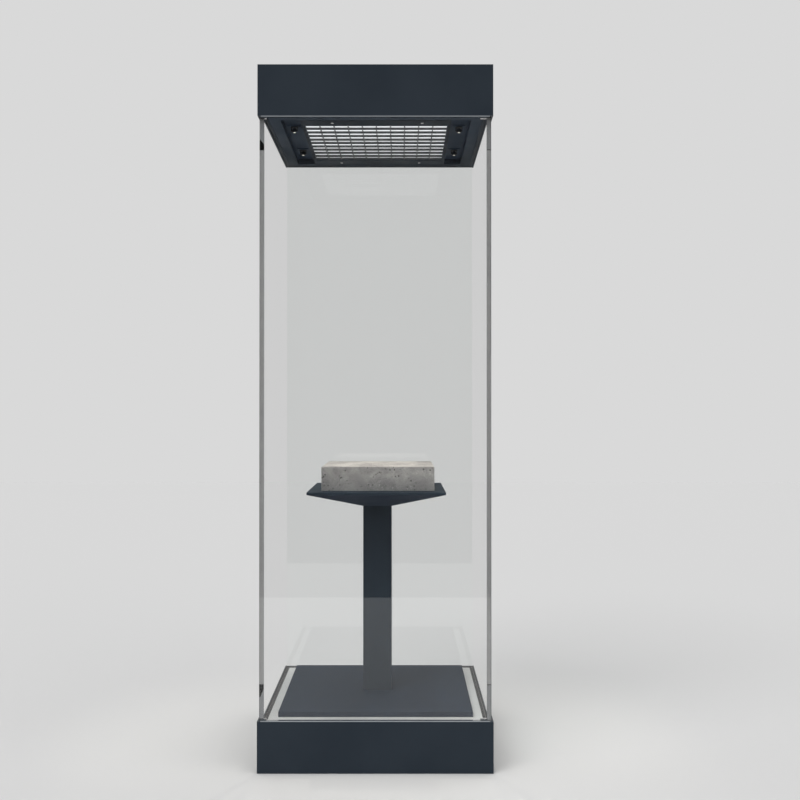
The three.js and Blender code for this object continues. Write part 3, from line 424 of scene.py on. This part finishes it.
# Painted shade: dark bands along the door glass's lower and upper edge
LOWER_EDGE_SHADE = (0.42, 0.45, 0.47)
UPPER_EDGE_SHADE = (0.004, 0.006, 0.009)
LOWER_EDGE = (1.92 * MM, 2.4 * MM)  # the painted shade of an edge is whole up to the first, gone at the second
UPPER_EDGE = (3.23 * MM, 3.8 * MM)
LEAF_FRONT = 1.0 * MM  # the painted edge shade is whole this far into the front leaf, and gone at the film
FILM_TINT = (0.60, 0.72, 0.68)
FILM = (0.38 * MM, 0.6 * MM)  # from the middle of the glass: the film is whole, and has ended
BOND = (1.4 * MM, 0.9 * MM)  # from a bonded end: the glass starts to vanish, and has gone
CLEAR = grey(0.995)
SHADE = (0.88, 0.895, 0.89)  # a lamp's light through one face
GLASS_BENDS = 1.5  # its index of refraction

# Angles of view, as 1 less their cosine: 0 is square on, 1 is along the glass
GRAZING = (0.76, 0.86)
STEEP = (0.12, 0.18)
CRITICAL = (0.2546, 0.2566)  # past the first, light stays in the glass


def clear_glass(name, box, tint, shaded_edges=False, bonded=None):
    """Laminated glass with a film between its two leaves, that shows on the ground edges.

    If asked, its front leaf is darkened along the upper and lower edge with painted shade.
    bonded is the axis along which its ends are cemented to a neighbour with clear silicone, so that
    they vanish. Where gone is 1 it bends light and mirrors nothing: where it is seen at a grazing
    angle, and for a ray inside it between steep and critical. Lamps shine through it, a little dimmed.
    """
    low, high = box
    thickness = X if high[X] - low[X] < high[Y] - low[Y] else Y
    film_at = (low[thickness] + high[thickness]) / 2

    def write(nodes):
        point = nodes.place()
        place = nodes.axes(point)
        film = nodes.falls((place[thickness] - film_at).size(), *FILM)
        shown = nodes.blend(film, tint, FILM_TINT)
        if shaded_edges:
            # painted shade along the front leaf's lower and upper edge
            outer = nodes.falls(place[thickness], low[thickness] + LEAF_FRONT, film_at)
            lower = nodes.falls(place[Z] - low[Z], *LOWER_EDGE) * outer
            upper = nodes.falls(high[Z] - place[Z], *UPPER_EDGE) * outer
            lower_shaded = nodes.blend(lower, shown, LOWER_EDGE_SHADE)
            shown = nodes.blend(upper, lower_shaded, UPPER_EDGE_SHADE)
        pane = nodes.principled(
            Base_Color=shown,
            Roughness=0.0,
            IOR=GLASS_BENDS,
            Transmission_Weight=1.0,
        )
        facing = nodes.node("LayerWeight", None, {"Blend": 0.5}, out="Facing")
        leaving = nodes.node("NewGeometry", out="Backfacing")
        grazing = nodes.smooth(facing, *GRAZING)
        between = nodes.smooth(facing, *STEEP) * nodes.falls(facing, *CRITICAL)
        gone = grazing.most(between * leaving)
        clear = {"Color": colour(CLEAR), "Roughness": 0.0, "IOR": GLASS_BENDS}
        bent = nodes.node("BsdfRefraction", None, clear)
        seen = nodes.mix(gone, pane, bent)
        if bonded is not None:
            start, whole = BOND
            at_end = nodes.smooth(place[bonded].size(), high[bonded] - start, high[bonded] - whole)
            seen = nodes.mix(at_end, seen, nodes.see_through(CLEAR))
        shaded = nodes.see_through(SHADE)
        return nodes.mix(nodes.light_path("Is Shadow Ray"), seen, shaded)

    return finish(name, write)


SEAL_MARKS = (0.2592, 1.8495)  # heights of the dark marks painted on the corner seals as shade
SEAL_MARK = (1.2 * MM, 1.5 * MM)  # from such a height: the painted dark mark is whole, and has ended
# painted shade for the dark marks
SEAL_MARK_SHADE = grey(0.07)
SEAL_STRETCH = (900.0, 900.0, 60.0)  # streaks in a metre, along each axis
STREAK_DEPTH = 0.03 * MM


def seal_silicone(name, pale, deep, end):
    """Soft grey seal with a fine matt skin. Its pale tone, its darker ends and a dark mark at two heights
    are painted light and shade that copy the light carried in the glass edge beside it."""
    lower, upper = SEAL_MARKS

    def write(nodes):
        point = nodes.place()
        height = nodes.axes(point)[Z]
        streaks = nodes.noise(nodes.stretched(point, SEAL_STRETCH), *SEAL_STREAKS)
        skin = nodes.blend(nodes.smooth(streaks, *MOST), deep, pale)
        # Painted shade: darker towards both ends, with a dark mark at each of two heights
        below = nodes.falls(height, lower - MM, lower)
        above = nodes.smooth(height, upper, upper + MM)
        darker_ends = nodes.blend(below + above, skin, end)
        from_mark = (height - lower).size().least((height - upper).size())
        dark_mark = nodes.falls(from_mark, *SEAL_MARK)
        return nodes.principled(
            Base_Color=nodes.blend(dark_mark, darker_ends, SEAL_MARK_SHADE),
            Roughness=nodes.smooth(streaks, *MOST, 0.5, 0.62),
            Specular_IOR_Level=SOFT_SHEEN,
            Normal=nodes.bump(streaks, STREAK_DEPTH),
        )

    return finish(name, write)


PEBBLES = 900.0  # in a metre
PEBBLE_DEPTH = 0.03 * MM
HANDLED_WIDTH = 2.0 * MM


def matt_board(name, node, dark, light, edge, rough, sheen=FLAT_SHEEN):
    """Paint or laminate on a board: a fine pebble grain and slightly handled edges."""
    box = box_of(node)

    def write(nodes):
        point = nodes.place()
        clouds = nodes.noise(point, *BOARD_CLOUDS)
        pebble = nodes.cells(point, PEBBLES)
        tone = nodes.smooth(clouds + pebble * 0.15, 0.4, 0.75)
        painted = nodes.blend(tone, dark, light)
        handled = edges_of(nodes, point, box, HANDLED_WIDTH)
        return nodes.principled(
            Base_Color=nodes.blend(handled * 0.5, painted, edge),
            Roughness=nodes.smooth(clouds, *MOST, *about(rough, 0.06)),
            Specular_IOR_Level=sheen,
            Normal=nodes.bump(pebble, PEBBLE_DEPTH),
        )

    return finish(name, write)


STONE_DEEP = (0.25, 0.240, 0.235)
STONE_MID = (0.43, 0.415, 0.404)
STONE_PALE = (0.565, 0.543, 0.517)
STONE_PORE = (0.06, 0.057, 0.053)
# Painted shade at the block's foot
STONE_FOOT_SHADE = (0.205, 0.208, 0.212)
STONE_SHELL = (0.66, 0.645, 0.62)
STONE_PORES = 90.0  # cells in a metre
STONE_WORN = 1.8 * MM
STONE_RELIEF = 0.35 * MM


def limestone(name, box):
    """Honed grey limestone: broad clouds, crescent shell flecks where a rippled noise is near its
    middle, a salt-and-pepper grain, small open pores and painted shade that darkens it towards the
    foot where the block stands."""

    def write(nodes):
        point = nodes.place()
        clouds = nodes.noise(point, *STONE_CLOUDS)
        grain = nodes.noise(point, *STONE_GRAIN)
        fine = nodes.noise(point, *STONE_FINE)
        body = nodes.blend(nodes.smooth(clouds, 0.34, 0.66), STONE_DEEP, STONE_PALE)
        mid = nodes.blend(nodes.smooth(fine, 0.38, 0.62, 0.0, 0.6), body, STONE_MID)
        salt = nodes.smooth(grain, 0.55, 0.8, 0.0, 0.5)
        salted = nodes.blend(salt, mid, STONE_PALE)
        pepper = nodes.smooth(grain, 0.25, 0.45, 0.5, 0.0)
        peppered = nodes.blend(pepper, salted, STONE_DEEP)
        ripple = nodes.noise(point, *STONE_RIPPLE)
        crescent = nodes.falls((ripple - 0.5).size(), 0.0, 0.03)
        gathered = nodes.smooth(nodes.noise(point, *SHELL_BEDS), *BED)
        shells = crescent * gathered * 0.85
        shelled = nodes.blend(shells, peppered, STONE_SHELL)
        cells = nodes.cells(point, STONE_PORES)
        spared = nodes.smooth(nodes.noise(point, *PORE_BEDS), *BED)
        pores = nodes.smooth(cells, 0.16, 0.30, 0.85, 0.0) * spared
        pitted = nodes.blend(pores, shelled, STONE_PORE)
        height = nodes.axes(point)[Z]
        # Painted shade: darker towards the foot, where the block stands
        foot = nodes.smooth(height, box[0][Z], box[1][Z], 0.45, 0.0)
        foot_shaded = nodes.blend(foot, pitted, STONE_FOOT_SHADE)
        worn = edges_of(nodes, point, box, STONE_WORN) * nodes.smooth(fine, 0.4, 0.6)
        relief = fine * 0.4 + grain * 0.25 - pores * 0.9 - worn * 0.8
        return nodes.principled(
            Base_Color=nodes.blend(worn * 0.4, foot_shaded, STONE_PALE),
            Roughness=nodes.smooth(fine, *MOST, 0.6, 0.8),
            Specular_IOR_Level=SOFT_SHEEN,
            Normal=nodes.bump(relief, STONE_RELIEF),
        )

    return finish(name, write)


LOUVRE_FIRST_ROW = -216.2 * MM  # the first blade across the louvre
LOUVRE_PITCH = 45.3 * MM
OPAL_POWER = 0.86
OPAL_GLOW = (0.93, 0.965, 1.0)
OPAL_SHEET = ((0.80, 0.82, 0.82), (0.88, 0.89, 0.89))

# Where the opal's light changes, in rows of the louvre past its first cross blade
DIMMER_ROWS = (5.9, 6.3)
LAST_ROWS = (8.9, 9.2)
DULL_ROW_STARTS = (3.95, 4.1)
DULL_ROW_ENDS = (4.95, 5.05)
DULLED = 0.42  # how much less light the dull row gives
BLADE_PAINTED_SHADE = 0.14  # painted shade: share of the light right beside a cross blade
BEFORE_BLADE = (0.82, 0.88)
PAST_BLADE = (0.0, 0.12)


def lit_opal(name):
    """Opal sheet lit from above by rows of diodes: bright over the front rows of the louvre, with the
    fifth row dull, fading to the back, and painted shade on both sides of each cross blade."""

    def write(nodes):
        point = nodes.place()
        row = (nodes.axes(point)[Y] - LOUVRE_FIRST_ROW) * (1 / LOUVRE_PITCH)
        fade = nodes.smooth(row, *DIMMER_ROWS, 1.0, 0.6) - nodes.smooth(row, *LAST_ROWS, 0.0, 0.3)
        dull = nodes.smooth(row, *DULL_ROW_STARTS) * nodes.falls(row, *DULL_ROW_ENDS)
        phase = row.fraction()
        # Painted shade on both sides of each cross blade
        before = nodes.smooth(phase, *BEFORE_BLADE, 1.0, BLADE_PAINTED_SHADE)
        shaded = before.least(nodes.smooth(phase, *PAST_BLADE, BLADE_PAINTED_SHADE, 1.0))
        speckle = nodes.noise(point, *OPAL_SPECKLE)
        glow = (fade - dull * DULLED) * shaded * (0.96 + speckle * 0.08)
        pale = nodes.blend(speckle, *OPAL_SHEET)
        power = nodes.blend(glow, grey(0.0), OPAL_GLOW)
        return nodes.principled(
            Base_Color=pale,
            Roughness=nodes.smooth(speckle, *MOST, 0.45, 0.55),
            Emission_Color=power,
            Emission_Strength=OPAL_POWER,
        )

    return finish(name, write)


LENS_TONE = (0.85, 0.85, 0.8)
LENS_GLOW = ((0.3, 0.26, 0.2), (1.0, 0.95, 0.86))
LENS_POWER = 1.3
LENS_FACETS = 12.0  # round the ring
LENS_HOT = (0.25, 0.7)  # of its radius: the hot middle starts to fade, and has faded
FACET_DEPTH = 0.08 * MM


def lit_lens(name, box):
    """Moulded lens over a diode: a hot middle and a ring of small facets, a sine round its middle."""
    centre = [(low + high) / 2 for low, high in zip(*box)]
    radius = (box[1][X] - box[0][X]) / 2

    def write(nodes):
        x, y, _ = nodes.axes(nodes.place())
        across = (x - centre[X]) * (1 / radius)
        deep = (y - centre[Y]) * (1 / radius)
        out = (across * across + deep * deep).root()
        hot = nodes.smooth(out, *LENS_HOT, 1.0, 0.1)
        facets = (deep.bearing(across) * LENS_FACETS).sine()
        power = nodes.blend(hot + facets * 0.05, *LENS_GLOW)
        return nodes.principled(
            Base_Color=colour(LENS_TONE),
            Roughness=0.12,
            Emission_Color=power,
            Emission_Strength=LENS_POWER,
            Normal=nodes.bump(facets * nodes.smooth(out, *MOST), FACET_DEPTH),
        )

    return finish(name, write)


MOULDED_DEPTH = 0.015 * MM


def moulded(name, tones, rough, sheen=FLAT_SHEEN):
    """Matt moulding, sprayed part or rubber with a fine spark-eroded grain."""

    def write(nodes):
        point = nodes.place()
        grain = nodes.noise(point, *MOULDED_GRAIN)
        clouds = nodes.noise(point, *MOULDED_CLOUDS)
        share = nodes.smooth(grain * 0.6 + clouds * 0.4, *CORE)
        return nodes.principled(
            Base_Color=nodes.blend(share, *tones),
            Roughness=nodes.smooth(clouds, *MOST, *about(rough, 0.05)),
            Specular_IOR_Level=sheen,
            Normal=nodes.bump(grain, MOULDED_DEPTH),
        )

    return finish(name, write)


NYLON_DEPTH = 0.01 * MM


def nylon(name):
    """Grey nylon with a faintly uneven skin."""

    def write(nodes):
        point = nodes.place()
        skin = nodes.noise(point, *NYLON_SKIN)
        share = nodes.smooth(skin, *MOST)
        return nodes.principled(
            Base_Color=nodes.blend(share, *WASHER_NYLON),
            Roughness=nodes.smooth(skin, *MOST, 0.5, 0.6),
            Normal=nodes.bump(skin, NYLON_DEPTH),
        )

    return finish(name, write)


# ---------------------------------------------------------------- carried-over pieces get their finish


def wear(node, material):
    """Gives a carried-over piece its finish."""
    slots = nodes_of[node].data.materials
    slots.clear()
    slots.append(material)


def box_of(node):
    """A node's lowest and highest corners as plain numbers."""
    low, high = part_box(node)
    return tuple(low), tuple(high)


def coated(node, name, *tones, **settings):
    """Powder-coats a carried-over piece."""
    wear(node, powder_coat(name, box_of(node), *tones, **settings))


def dress_case():
    for node in ("plinth_shell", "canopy_shell", "canopy_lid", "base_pan"):
        coated(node, node + "_coat")
    wear("light_tray", recessed_coat("light_tray_painted_light_coat", box_of("light_tray")))
    coated("light_panel", "panel_coat", SLATE_PANEL, SLATE, sheen=PANEL_SHEEN)
    for node, along in (("pane_left", Y), ("pane_right", Y), ("pane_back", X)):
        wear(node, clear_glass(node + "_glass", box_of(node), PANE_TINT, bonded=along))
    wear("door_pane", clear_glass("door_glass", box_of("door_pane"), DOOR_TINT, shaded_edges=True))
    for side, along in (("left", Y), ("right", Y), ("back", X)):
        node = f"plinth_channel_{side}"
        wear(node, drawn_metal(node + "_alloy", CHANNEL_ALLOY, along, rough=0.5))
    for side in ("left", "right", "back"):
        node = f"canopy_channel_{side}"
        coated(node, node + "_coat", SLATE, SLATE_SOFFIT, sheen=FAINT_SHEEN)
    wear("gasket_hinge_side", seal_silicone("seal", *HINGE_SEAL_EDGE_LIGHT))
    wear("gasket_latch_side", seal_silicone("latch_seal", *LATCH_SEAL_EDGE_LIGHT))


def dress_door_and_locks():
    shoe = moulded("shoe_coat", SHOE_COAT, rough=0.6, sheen=FAINT_SHEEN)
    steel = drawn_metal("turned_steel", TURNED_STEEL, Z, rough=0.28)
    chrome = drawn_metal("plug_chrome", PLUG_CHROME, Z, rough=0.16, grain=0.04)
    for end in ENDS:
        wear(f"pivot_shoe_{end}", shoe)
        wear(f"strike_shoe_{end}", shoe)
        wear(f"pivot_pin_{end}", steel)
        wear(f"lock_case_{end}", steel)
        wear(f"lock_bolt_{end}", steel)
        wear(f"lock_plug_{end}", chrome)
    wear("thrust_washer", nylon("washer_nylon"))
    zinc = drawn_metal("foot_zinc", FOOT_ZINC, Z, rough=0.38)
    for place in CORNERS:
        wear(f"levelling_foot_{place}", zinc)


def dress_inside():
    deck = matt_board("deck", "deck_board", *DECK, DECK_EDGE, rough=0.75, sheen=FAINT_SHEEN)
    wear("deck_board", deck)
    wear("floor_liner", matt_board("liner", "floor_liner", *LINER, LINER_EDGE, rough=0.5))
    coated("support_post", "support_post_coat", SLATE_POST, SLATE_POST_LIGHT)
    matt = {"rough": 0.7, "sheen": FAINT_SHEEN}
    # the cone's paler tones are painted light
    coated("table_cone", "table_cone_painted_light_coat", CONE_PAINTED_LIGHT, CONE_PAINTED_LIGHT_PALE, **matt)
    coated("table_top", "table_top_coat", SLATE_POST_LIGHT, SLATE_TABLE, **matt)
    wear("riser_block", limestone("limestone", box_of("riser_block")))


def dress_lights():
    wear("louvre_grid", moulded("louvre_black", LOUVRE_BLACK, rough=0.5))
    wear("diffuser", lit_opal("opal"))
    white = matt_board("white_steel", "light_box", *WHITE_STEEL, WHITE_STEEL_EDGE, rough=0.55)
    wear("light_box", white)
    wear("led_board", white)
    paint = matt_board("driver_steel", "led_driver", *DRIVER_PAINT, DRIVER_EDGE, rough=0.45)
    wear("led_driver", paint)
    black = moulded("spot_black", SPOT_BLACK, rough=0.55)
    for place in CORNERS:
        wear(f"spot_yoke_{place}", black)
        wear(f"spot_head_{place}", black)
        wear(f"spot_lens_{place}", lit_lens(f"lens_{place}", box_of(f"spot_lens_{place}")))


# ---------------------------------------------------------------- new pieces


def grid_faces(rows, columns):
    """Faces between the points of a grid that closes on itself along its columns."""
    row = np.arange(rows - 1)[:, None] * columns
    here = np.arange(columns)[None, :]
    there = (here + 1) % columns
    corners = [row + here, row + there, row + columns + there, row + columns + here]
    return np.stack(corners, axis=-1).reshape(-1, 4)


def put(name, points, faces, material, body, smooth=True):
    """Makes a mesh piece that rides on a body."""
    mesh = bpy.data.meshes.new(name)
    mesh.from_pydata(points.tolist(), [], [list(face) for face in faces])
    mesh.polygons.foreach_set("use_smooth", np.full(len(mesh.polygons), smooth))
    mesh.update()
    piece = bpy.data.objects.new(name, mesh)
    bpy.context.scene.collection.objects.link(piece)
    mesh.materials.append(material)
    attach(piece, body)


POLE = 1e-6  # radius of a ring that closes a surface at its middle
HEAD_FLOOR = 0.35  # of a screw head's height: the floor of its socket
HEAD_RIM = 0.06  # of its height: the socket's rim over the start of the dome
HEAD_SEAT = 0.05  # of its height: what is sunk in what it stands on
DOME_START = 0.35  # of a right angle: where the dome starts
DOME_RINGS = 6


def button_head(radius, height, socket, around=36):
    """A round screw head with a hexagonal socket, standing on z = 0.

    Rings of points run from the middle of the socket's floor, up its six-sided wall, over the dome
    of radius * sin(t) and height * cos(t) and down to the seat. A ring's radius is its half width,
    divided by the cosine of the angle from the nearest flat where the ring is six-sided.
    """
    angle = np.linspace(0, 2 * np.pi, around, endpoint=False)
    from_flat = (angle % (np.pi / 3)) - np.pi / 6
    hexagon = 1 / np.cos(from_flat)
    sunk = height * HEAD_FLOOR
    tilt = np.linspace(DOME_START, 1.0, DOME_RINGS) * np.pi / 2
    dome_radius = radius * np.sin(tilt)
    dome_height = height * np.cos(tilt)
    rings = [(POLE, sunk, 0), (socket, sunk, 1), (socket, dome_height[0] + HEAD_RIM * height, 1)]
    rings += [(r, z, 0) for r, z in zip(dome_radius, dome_height)]
    rings += [(radius, -height * HEAD_SEAT, 0), (POLE, -height * HEAD_SEAT, 0)]
    points = []
    for ring_radius, level, six in rings:
        reach = ring_radius * (hexagon if six else np.ones(around))
        points.append(np.stack([reach * np.cos(angle), reach * np.sin(angle), np.full(around, level)], -1))
    return np.concatenate(points), grid_faces(len(rings), around)


def repeated(shape, places, down=False):
    """Copies of a shape at several places, turned over about X where down is set."""
    points, faces = shape
    turned = points * np.array([1, -1, -1]) if down else points
    every = [turned + np.array(place) for place in places]
    numbered = [faces + i * len(points) for i in range(len(places))]
    return np.concatenate(every), np.concatenate(numbered)


# A screw head's radius, its height and half the width of its socket
PANEL_SCREW = (4.6 * MM, 2.4 * MM, 1.5 * MM)
LID_SCREW = (3.2 * MM, 0.8 * MM, 1.1 * MM)
PANEL_SCREWS_ACROSS = (-0.133, 0.141)
PANEL_SCREWS_DEEP = (-0.260, 0.270)
LID_SCREW_INSET = 6 * MM  # from the lid's edge
LID_SCREW_REACH = 0.62  # the outer screws of a side, as a share of the way to its corner


def panel_screws(steel):
    """Four socket screws that hold the light panel."""
    low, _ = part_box("light_panel")
    places = [(x, y, low.z) for x in PANEL_SCREWS_ACROSS for y in PANEL_SCREWS_DEEP]
    points, faces = repeated(button_head(*PANEL_SCREW), places, down=True)
    put("panel_screws", points, faces, steel, "root")


def lid_screws(steel):
    """Low screws round the edge of the canopy's lid, three on each side."""
    _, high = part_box("canopy_lid")
    edge = high.x - LID_SCREW_INSET
    outer = edge * LID_SCREW_REACH
    places = []
    for along in (-outer, 0.0, outer):
        places += [(along, -edge, high.z), (along, edge, high.z)]
        places += [(-edge, along, high.z), (edge, along, high.z)]
    points, faces = repeated(button_head(*LID_SCREW), places)
    put("lid_screws", points, faces, steel, "root")


def rounded_bar(start, end, up, width, height, round_over=8):
    """A bar with a rounded top: the half ellipse (width / 2 cos t, height sin t) and its flat foot,
    carried from start to end. up is +1 or -1 along Z."""
    start, end = np.array(start), np.array(end)
    along = (end - start) / np.linalg.norm(end - start)
    across = np.cross([0.0, 0.0, 1.0], along)
    turn = np.linspace(0, np.pi, round_over)
    outline = np.outer(np.cos(turn) * width / 2, across)
    outline += np.outer(np.sin(turn) * height * up, [0.0, 0.0, 1.0])
    outline = outline if up > 0 else outline[::-1]
    points = np.concatenate([start + outline, end + outline])
    number = np.arange(round_over)
    following = (number + 1) % round_over
    sides = [[a, b, b + round_over, a + round_over] for a, b in zip(number, following)]
    caps = [list(number[::-1]), list(number + round_over)]
    return points, sides + caps


def joined(shapes):
    """Several (points, faces) shapes as one."""
    points, faces, count = [], [], 0
    for some, corners in shapes:
        points.append(some)
        faces += [[count + corner for corner in face] for face in corners]
        count += len(some)
    return np.concatenate(points), faces


LIP_WIDTH = 1.3 * MM
LIP_HEIGHT = 0.9 * MM
LIP_START = 2 * MM  # behind the channels' front ends


def glazing_lips(end, up, rubber):
    """The lip of the glazing gasket, that shows as a thin line between each fixed pane and the inner
    leg of its channel, at the foot and at the head of the glass. up is +1 for the foot and -1 for the
    head."""
    side_low, side_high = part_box(f"{end}_channel_right")
    rim = side_high.z if up > 0 else side_low.z
    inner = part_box("pane_right")[0].x - LIP_WIDTH
    inner_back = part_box("pane_back")[0].y - LIP_WIDTH
    front = side_low.y + LIP_START
    runs = [
        ((-inner, front, rim), (-inner, inner_back, rim)),
        ((inner, front, rim), (inner, inner_back, rim)),
        ((-inner, inner_back, rim), (inner, inner_back, rim)),
    ]
    points, faces = joined([rounded_bar(a, b, up, LIP_WIDTH, LIP_HEIGHT) for a, b in runs])
    put(f"glazing_lips_{end}", points, faces, rubber, "root")


def block(low, high):
    """A block between two corners, its faces outwards."""
    ends = (low, high)
    corners = [(i, j, k) for k in (0, 1) for j in (0, 1) for i in (0, 1)]
    points = np.array([[ends[i][X], ends[j][Y], ends[k][Z]] for i, j, k in corners])
    faces = [[0, 2, 3, 1], [4, 5, 7, 6], [0, 1, 5, 4], [2, 6, 7, 3], [0, 4, 6, 2], [1, 3, 7, 5]]
    return points, faces


SEAL_FRONT = 5.4 * MM  # the door's seals stand this far in front of the glass
SEAL_BELOW = 2.2 * MM  # the lower seal under the glass
SEAL_ABOVE = 1.3 * MM  # the upper seal over the glass
SEAL_LAP = 1.2 * MM  # what the upper seal laps over the front of the glass
SEAL_REACH = 340 * MM  # half the length of the seals' front lips
SEAL_CLEAR = 0.05 * MM  # between a seal and the glass
SHOE_CLEAR = 0.5 * MM  # between a seal and a shoe


def door_seals(rubber):
    """Flat seals along the door's upper and lower edges, between its corner shoes, and their lips in
    front of the glass. Their pale tone is a painted reflection of the light lines along the door's edges."""
    low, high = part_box("door_pane")
    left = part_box("pivot_shoe_plinth")[1].x + SHOE_CLEAR
    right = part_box("strike_shoe_plinth")[0].x - SHOE_CLEAR
    front = low.y - SEAL_FRONT
    face = low.y - SEAL_CLEAR
    bottom, under = low.z - SEAL_BELOW, low.z - SEAL_CLEAR
    over, top = high.z + SEAL_CLEAR, high.z + SEAL_ABOVE
    shapes = [
        block((left, face, bottom), (right, high.y, under)),
        block((left, face, over), (right, high.y, top)),
        block((-SEAL_REACH, front, bottom), (SEAL_REACH, face, under)),
        block((-SEAL_REACH, front, high.z - SEAL_LAP), (SEAL_REACH, face, top)),
    ]
    points, faces = joined(shapes)
    put("door_seals", points, faces, rubber, "door", smooth=False)


# A wedge of painted shade on the hinge side: name, the height of its dark mark, which way it
# points, its full-width stretch and its taper
WEDGES = [
    ("shade_wedge_lower", SEAL_MARKS[0], -1, 13.2 * MM, 24.7 * MM),
    ("shade_wedge_upper", SEAL_MARKS[1], 1, 16.0 * MM, 14.0 * MM),
]
WEDGE_LEFT = 0.5 * MM  # in from the seal's outer side
WEDGE_RIGHT = 0.2 * MM  # in from its inner side
WEDGE_THICK = 0.5 * MM
WEDGE_TIP = 1.0 * MM  # its width where the taper ends


def shade_wedges(rubber):
    """Two dark wedges of painted shade on the hinge-side seal, at its dark marks: full width for a short
    stretch, then a taper that keeps to the case's corner."""
    low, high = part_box("gasket_hinge_side")
    left, right = low.x + WEDGE_LEFT, high.x - WEDGE_RIGHT
    front, back = low.y - WEDGE_THICK, low.y
    for name, dark_mark, up, full, taper in WEDGES:
        tip = dark_mark + up * (full + taper)
        outline = [
            (left, dark_mark),
            (right, dark_mark),
            (right, dark_mark + up * full),
            (left + WEDGE_TIP, tip),
            (left, tip),
        ]
        outline = outline if up > 0 else outline[::-1]
        points = np.array([(x, y, z) for y in (front, back) for x, z in outline])
        count = len(outline)
        sides = [[i, i + count, (i + 1) % count + count, (i + 1) % count] for i in range(count)]
        faces = [list(range(count)), list(range(2 * count - 1, count - 1, -1))] + sides
        put(name, points, faces, rubber, "root", smooth=False)


def trim():
    steel = drawn_metal("screw_steel", SCREW_STEEL, Z, rough=0.25)
    panel_screws(steel)
    lid_screws(steel)
    glazing_lips("plinth", 1, moulded("plinth_lip_rubber", PLINTH_LIP, rough=0.6))
    glazing_lips("canopy", -1, moulded("canopy_lip_rubber", CANOPY_LIP, rough=0.6))
    door_seals(moulded("door_seal_reflection_rubber", DOOR_SEAL_AND_REFLECTION, rough=0.6))
    shade_wedges(moulded("wedge_painted_shade", WEDGE_SHADE, rough=0.7, sheen=WEDGE_SHEEN))


# ---------------------------------------------------------------- stage


def in_scene(name, data):
    """An object of data, linked to the scene."""
    made = bpy.data.objects.new(name, data)
    bpy.context.scene.collection.objects.link(made)
    return made


def camera():
    """The photograph's viewing angle."""
    data = bpy.data.cameras.new("camera")
    data.sensor_width = SENSOR
    data.lens = FOCAL_LENGTH / PICTURE_WIDTH * SENSOR
    eye = in_scene("camera", data)
    eye.location = CAMERA_PLACE
    eye.rotation_euler = (math.radians(90 + CAMERA_PITCH), 0, 0)
    bpy.context.scene.camera = eye


def surroundings():
    """A soft dome lights the case. Straight or through glass the eye sees the pale backdrop, and
    what is mirrored sees it towards +Y and a dim room elsewhere. Light that has come off a matt
    surface sees only the dome."""
    world = bpy.data.worlds.new("studio")
    bpy.context.scene.world = world
    world.use_nodes = True
    world.cycles.sampling_method = "NONE"
    nodes = Nodes(world.node_tree)
    direct = nodes.light_path("Is Camera Ray")
    through = nodes.light_path("Is Transmission Ray")
    mirrored = nodes.light_path("Glossy Depth").least(1.0)
    scattered = nodes.light_path("Diffuse Depth").least(1.0)
    towards = nodes.axes(nodes.node("TexCoord", out="Generated"))[Y]
    room = nodes.smooth(towards, *BACKDROP_SEEN, DIM_ROOM, BACKDROP)
    sharp = 1.0 - scattered
    seen = (direct + through * (1.0 - mirrored)) * sharp
    strength = DOME + seen * (BACKDROP - DOME) + mirrored * sharp * (room - DOME)
    light = nodes.node("Background", None, {"Color": colour(grey(1.0)), "Strength": strength})
    output = world.node_tree.nodes.new("ShaderNodeOutputWorld")
    world.node_tree.links.new(light.socket, output.inputs["Surface"])


def lamps():
    """Broad soft lamps round the case."""
    for name, azimuth, elevation, strength, spread in LAMPS:
        data = bpy.data.lights.new(name, "SUN")
        data.energy = strength
        data.angle = math.radians(spread)
        lamp = in_scene(name, data)
        lamp.rotation_euler = (math.radians(90 - elevation), 0, math.radians(azimuth))


def spotlights():
    """A warm beam out of each small spotlight, that turns with its head."""
    for place in CORNERS:
        low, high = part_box(f"spot_lens_{place}")
        data = bpy.data.lights.new(f"beam_{place}", "SPOT")
        data.energy = SPOT_POWER
        data.color = SPOT_COLOUR
        data.spot_size = math.radians(SPOT_BEAM)
        data.spot_blend = SPOT_SOFTNESS
        data.shadow_soft_size = SPOT_SOURCE
        beam = in_scene(f"beam_{place}", data)
        beam.location = ((low.x + high.x) / 2, (low.y + high.y) / 2, low.z - SPOT_DROP)
        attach(beam, f"head_{place}")


def floor():
    """One flat pale face. The light that it throws on the case comes off a darker grey."""
    near = [(-FLOOR_SIDE, FLOOR_FRONT, 0), (FLOOR_SIDE, FLOOR_FRONT, 0)]
    far = [(FLOOR_SIDE, FLOOR_BACK, 0), (-FLOOR_SIDE, FLOOR_BACK, 0)]
    mesh = bpy.data.meshes.new("floor")
    mesh.from_pydata(near + far, [], [(0, 1, 2, 3)])
    in_scene("floor", mesh)

    def write(nodes):
        tone = nodes.blend(nodes.light_path("Is Diffuse Ray"), grey(BACKDROP), grey(FLOOR_BOUNCE))
        return nodes.principled(Base_Color=tone, Roughness=FLOOR_ROUGH, Specular_IOR_Level=0.0)

    mesh.materials.append(finish("floor", write))


def light_paths():
    """Enough bounces for what is seen through and inside several panes."""
    cycles = bpy.context.scene.cycles
    cycles.max_bounces = GLASS_BOUNCES
    cycles.transmission_bounces = GLASS_BOUNCES
    cycles.glossy_bounces = MIRROR_BOUNCES
    cycles.transparent_max_bounces = GLASS_BOUNCES


bpy.context.scene.view_settings.view_transform = "Standard"
camera()
surroundings()
lamps()
floor()
light_paths()
dress_case()
dress_door_and_locks()
dress_inside()
dress_lights()
trim()
spotlights()
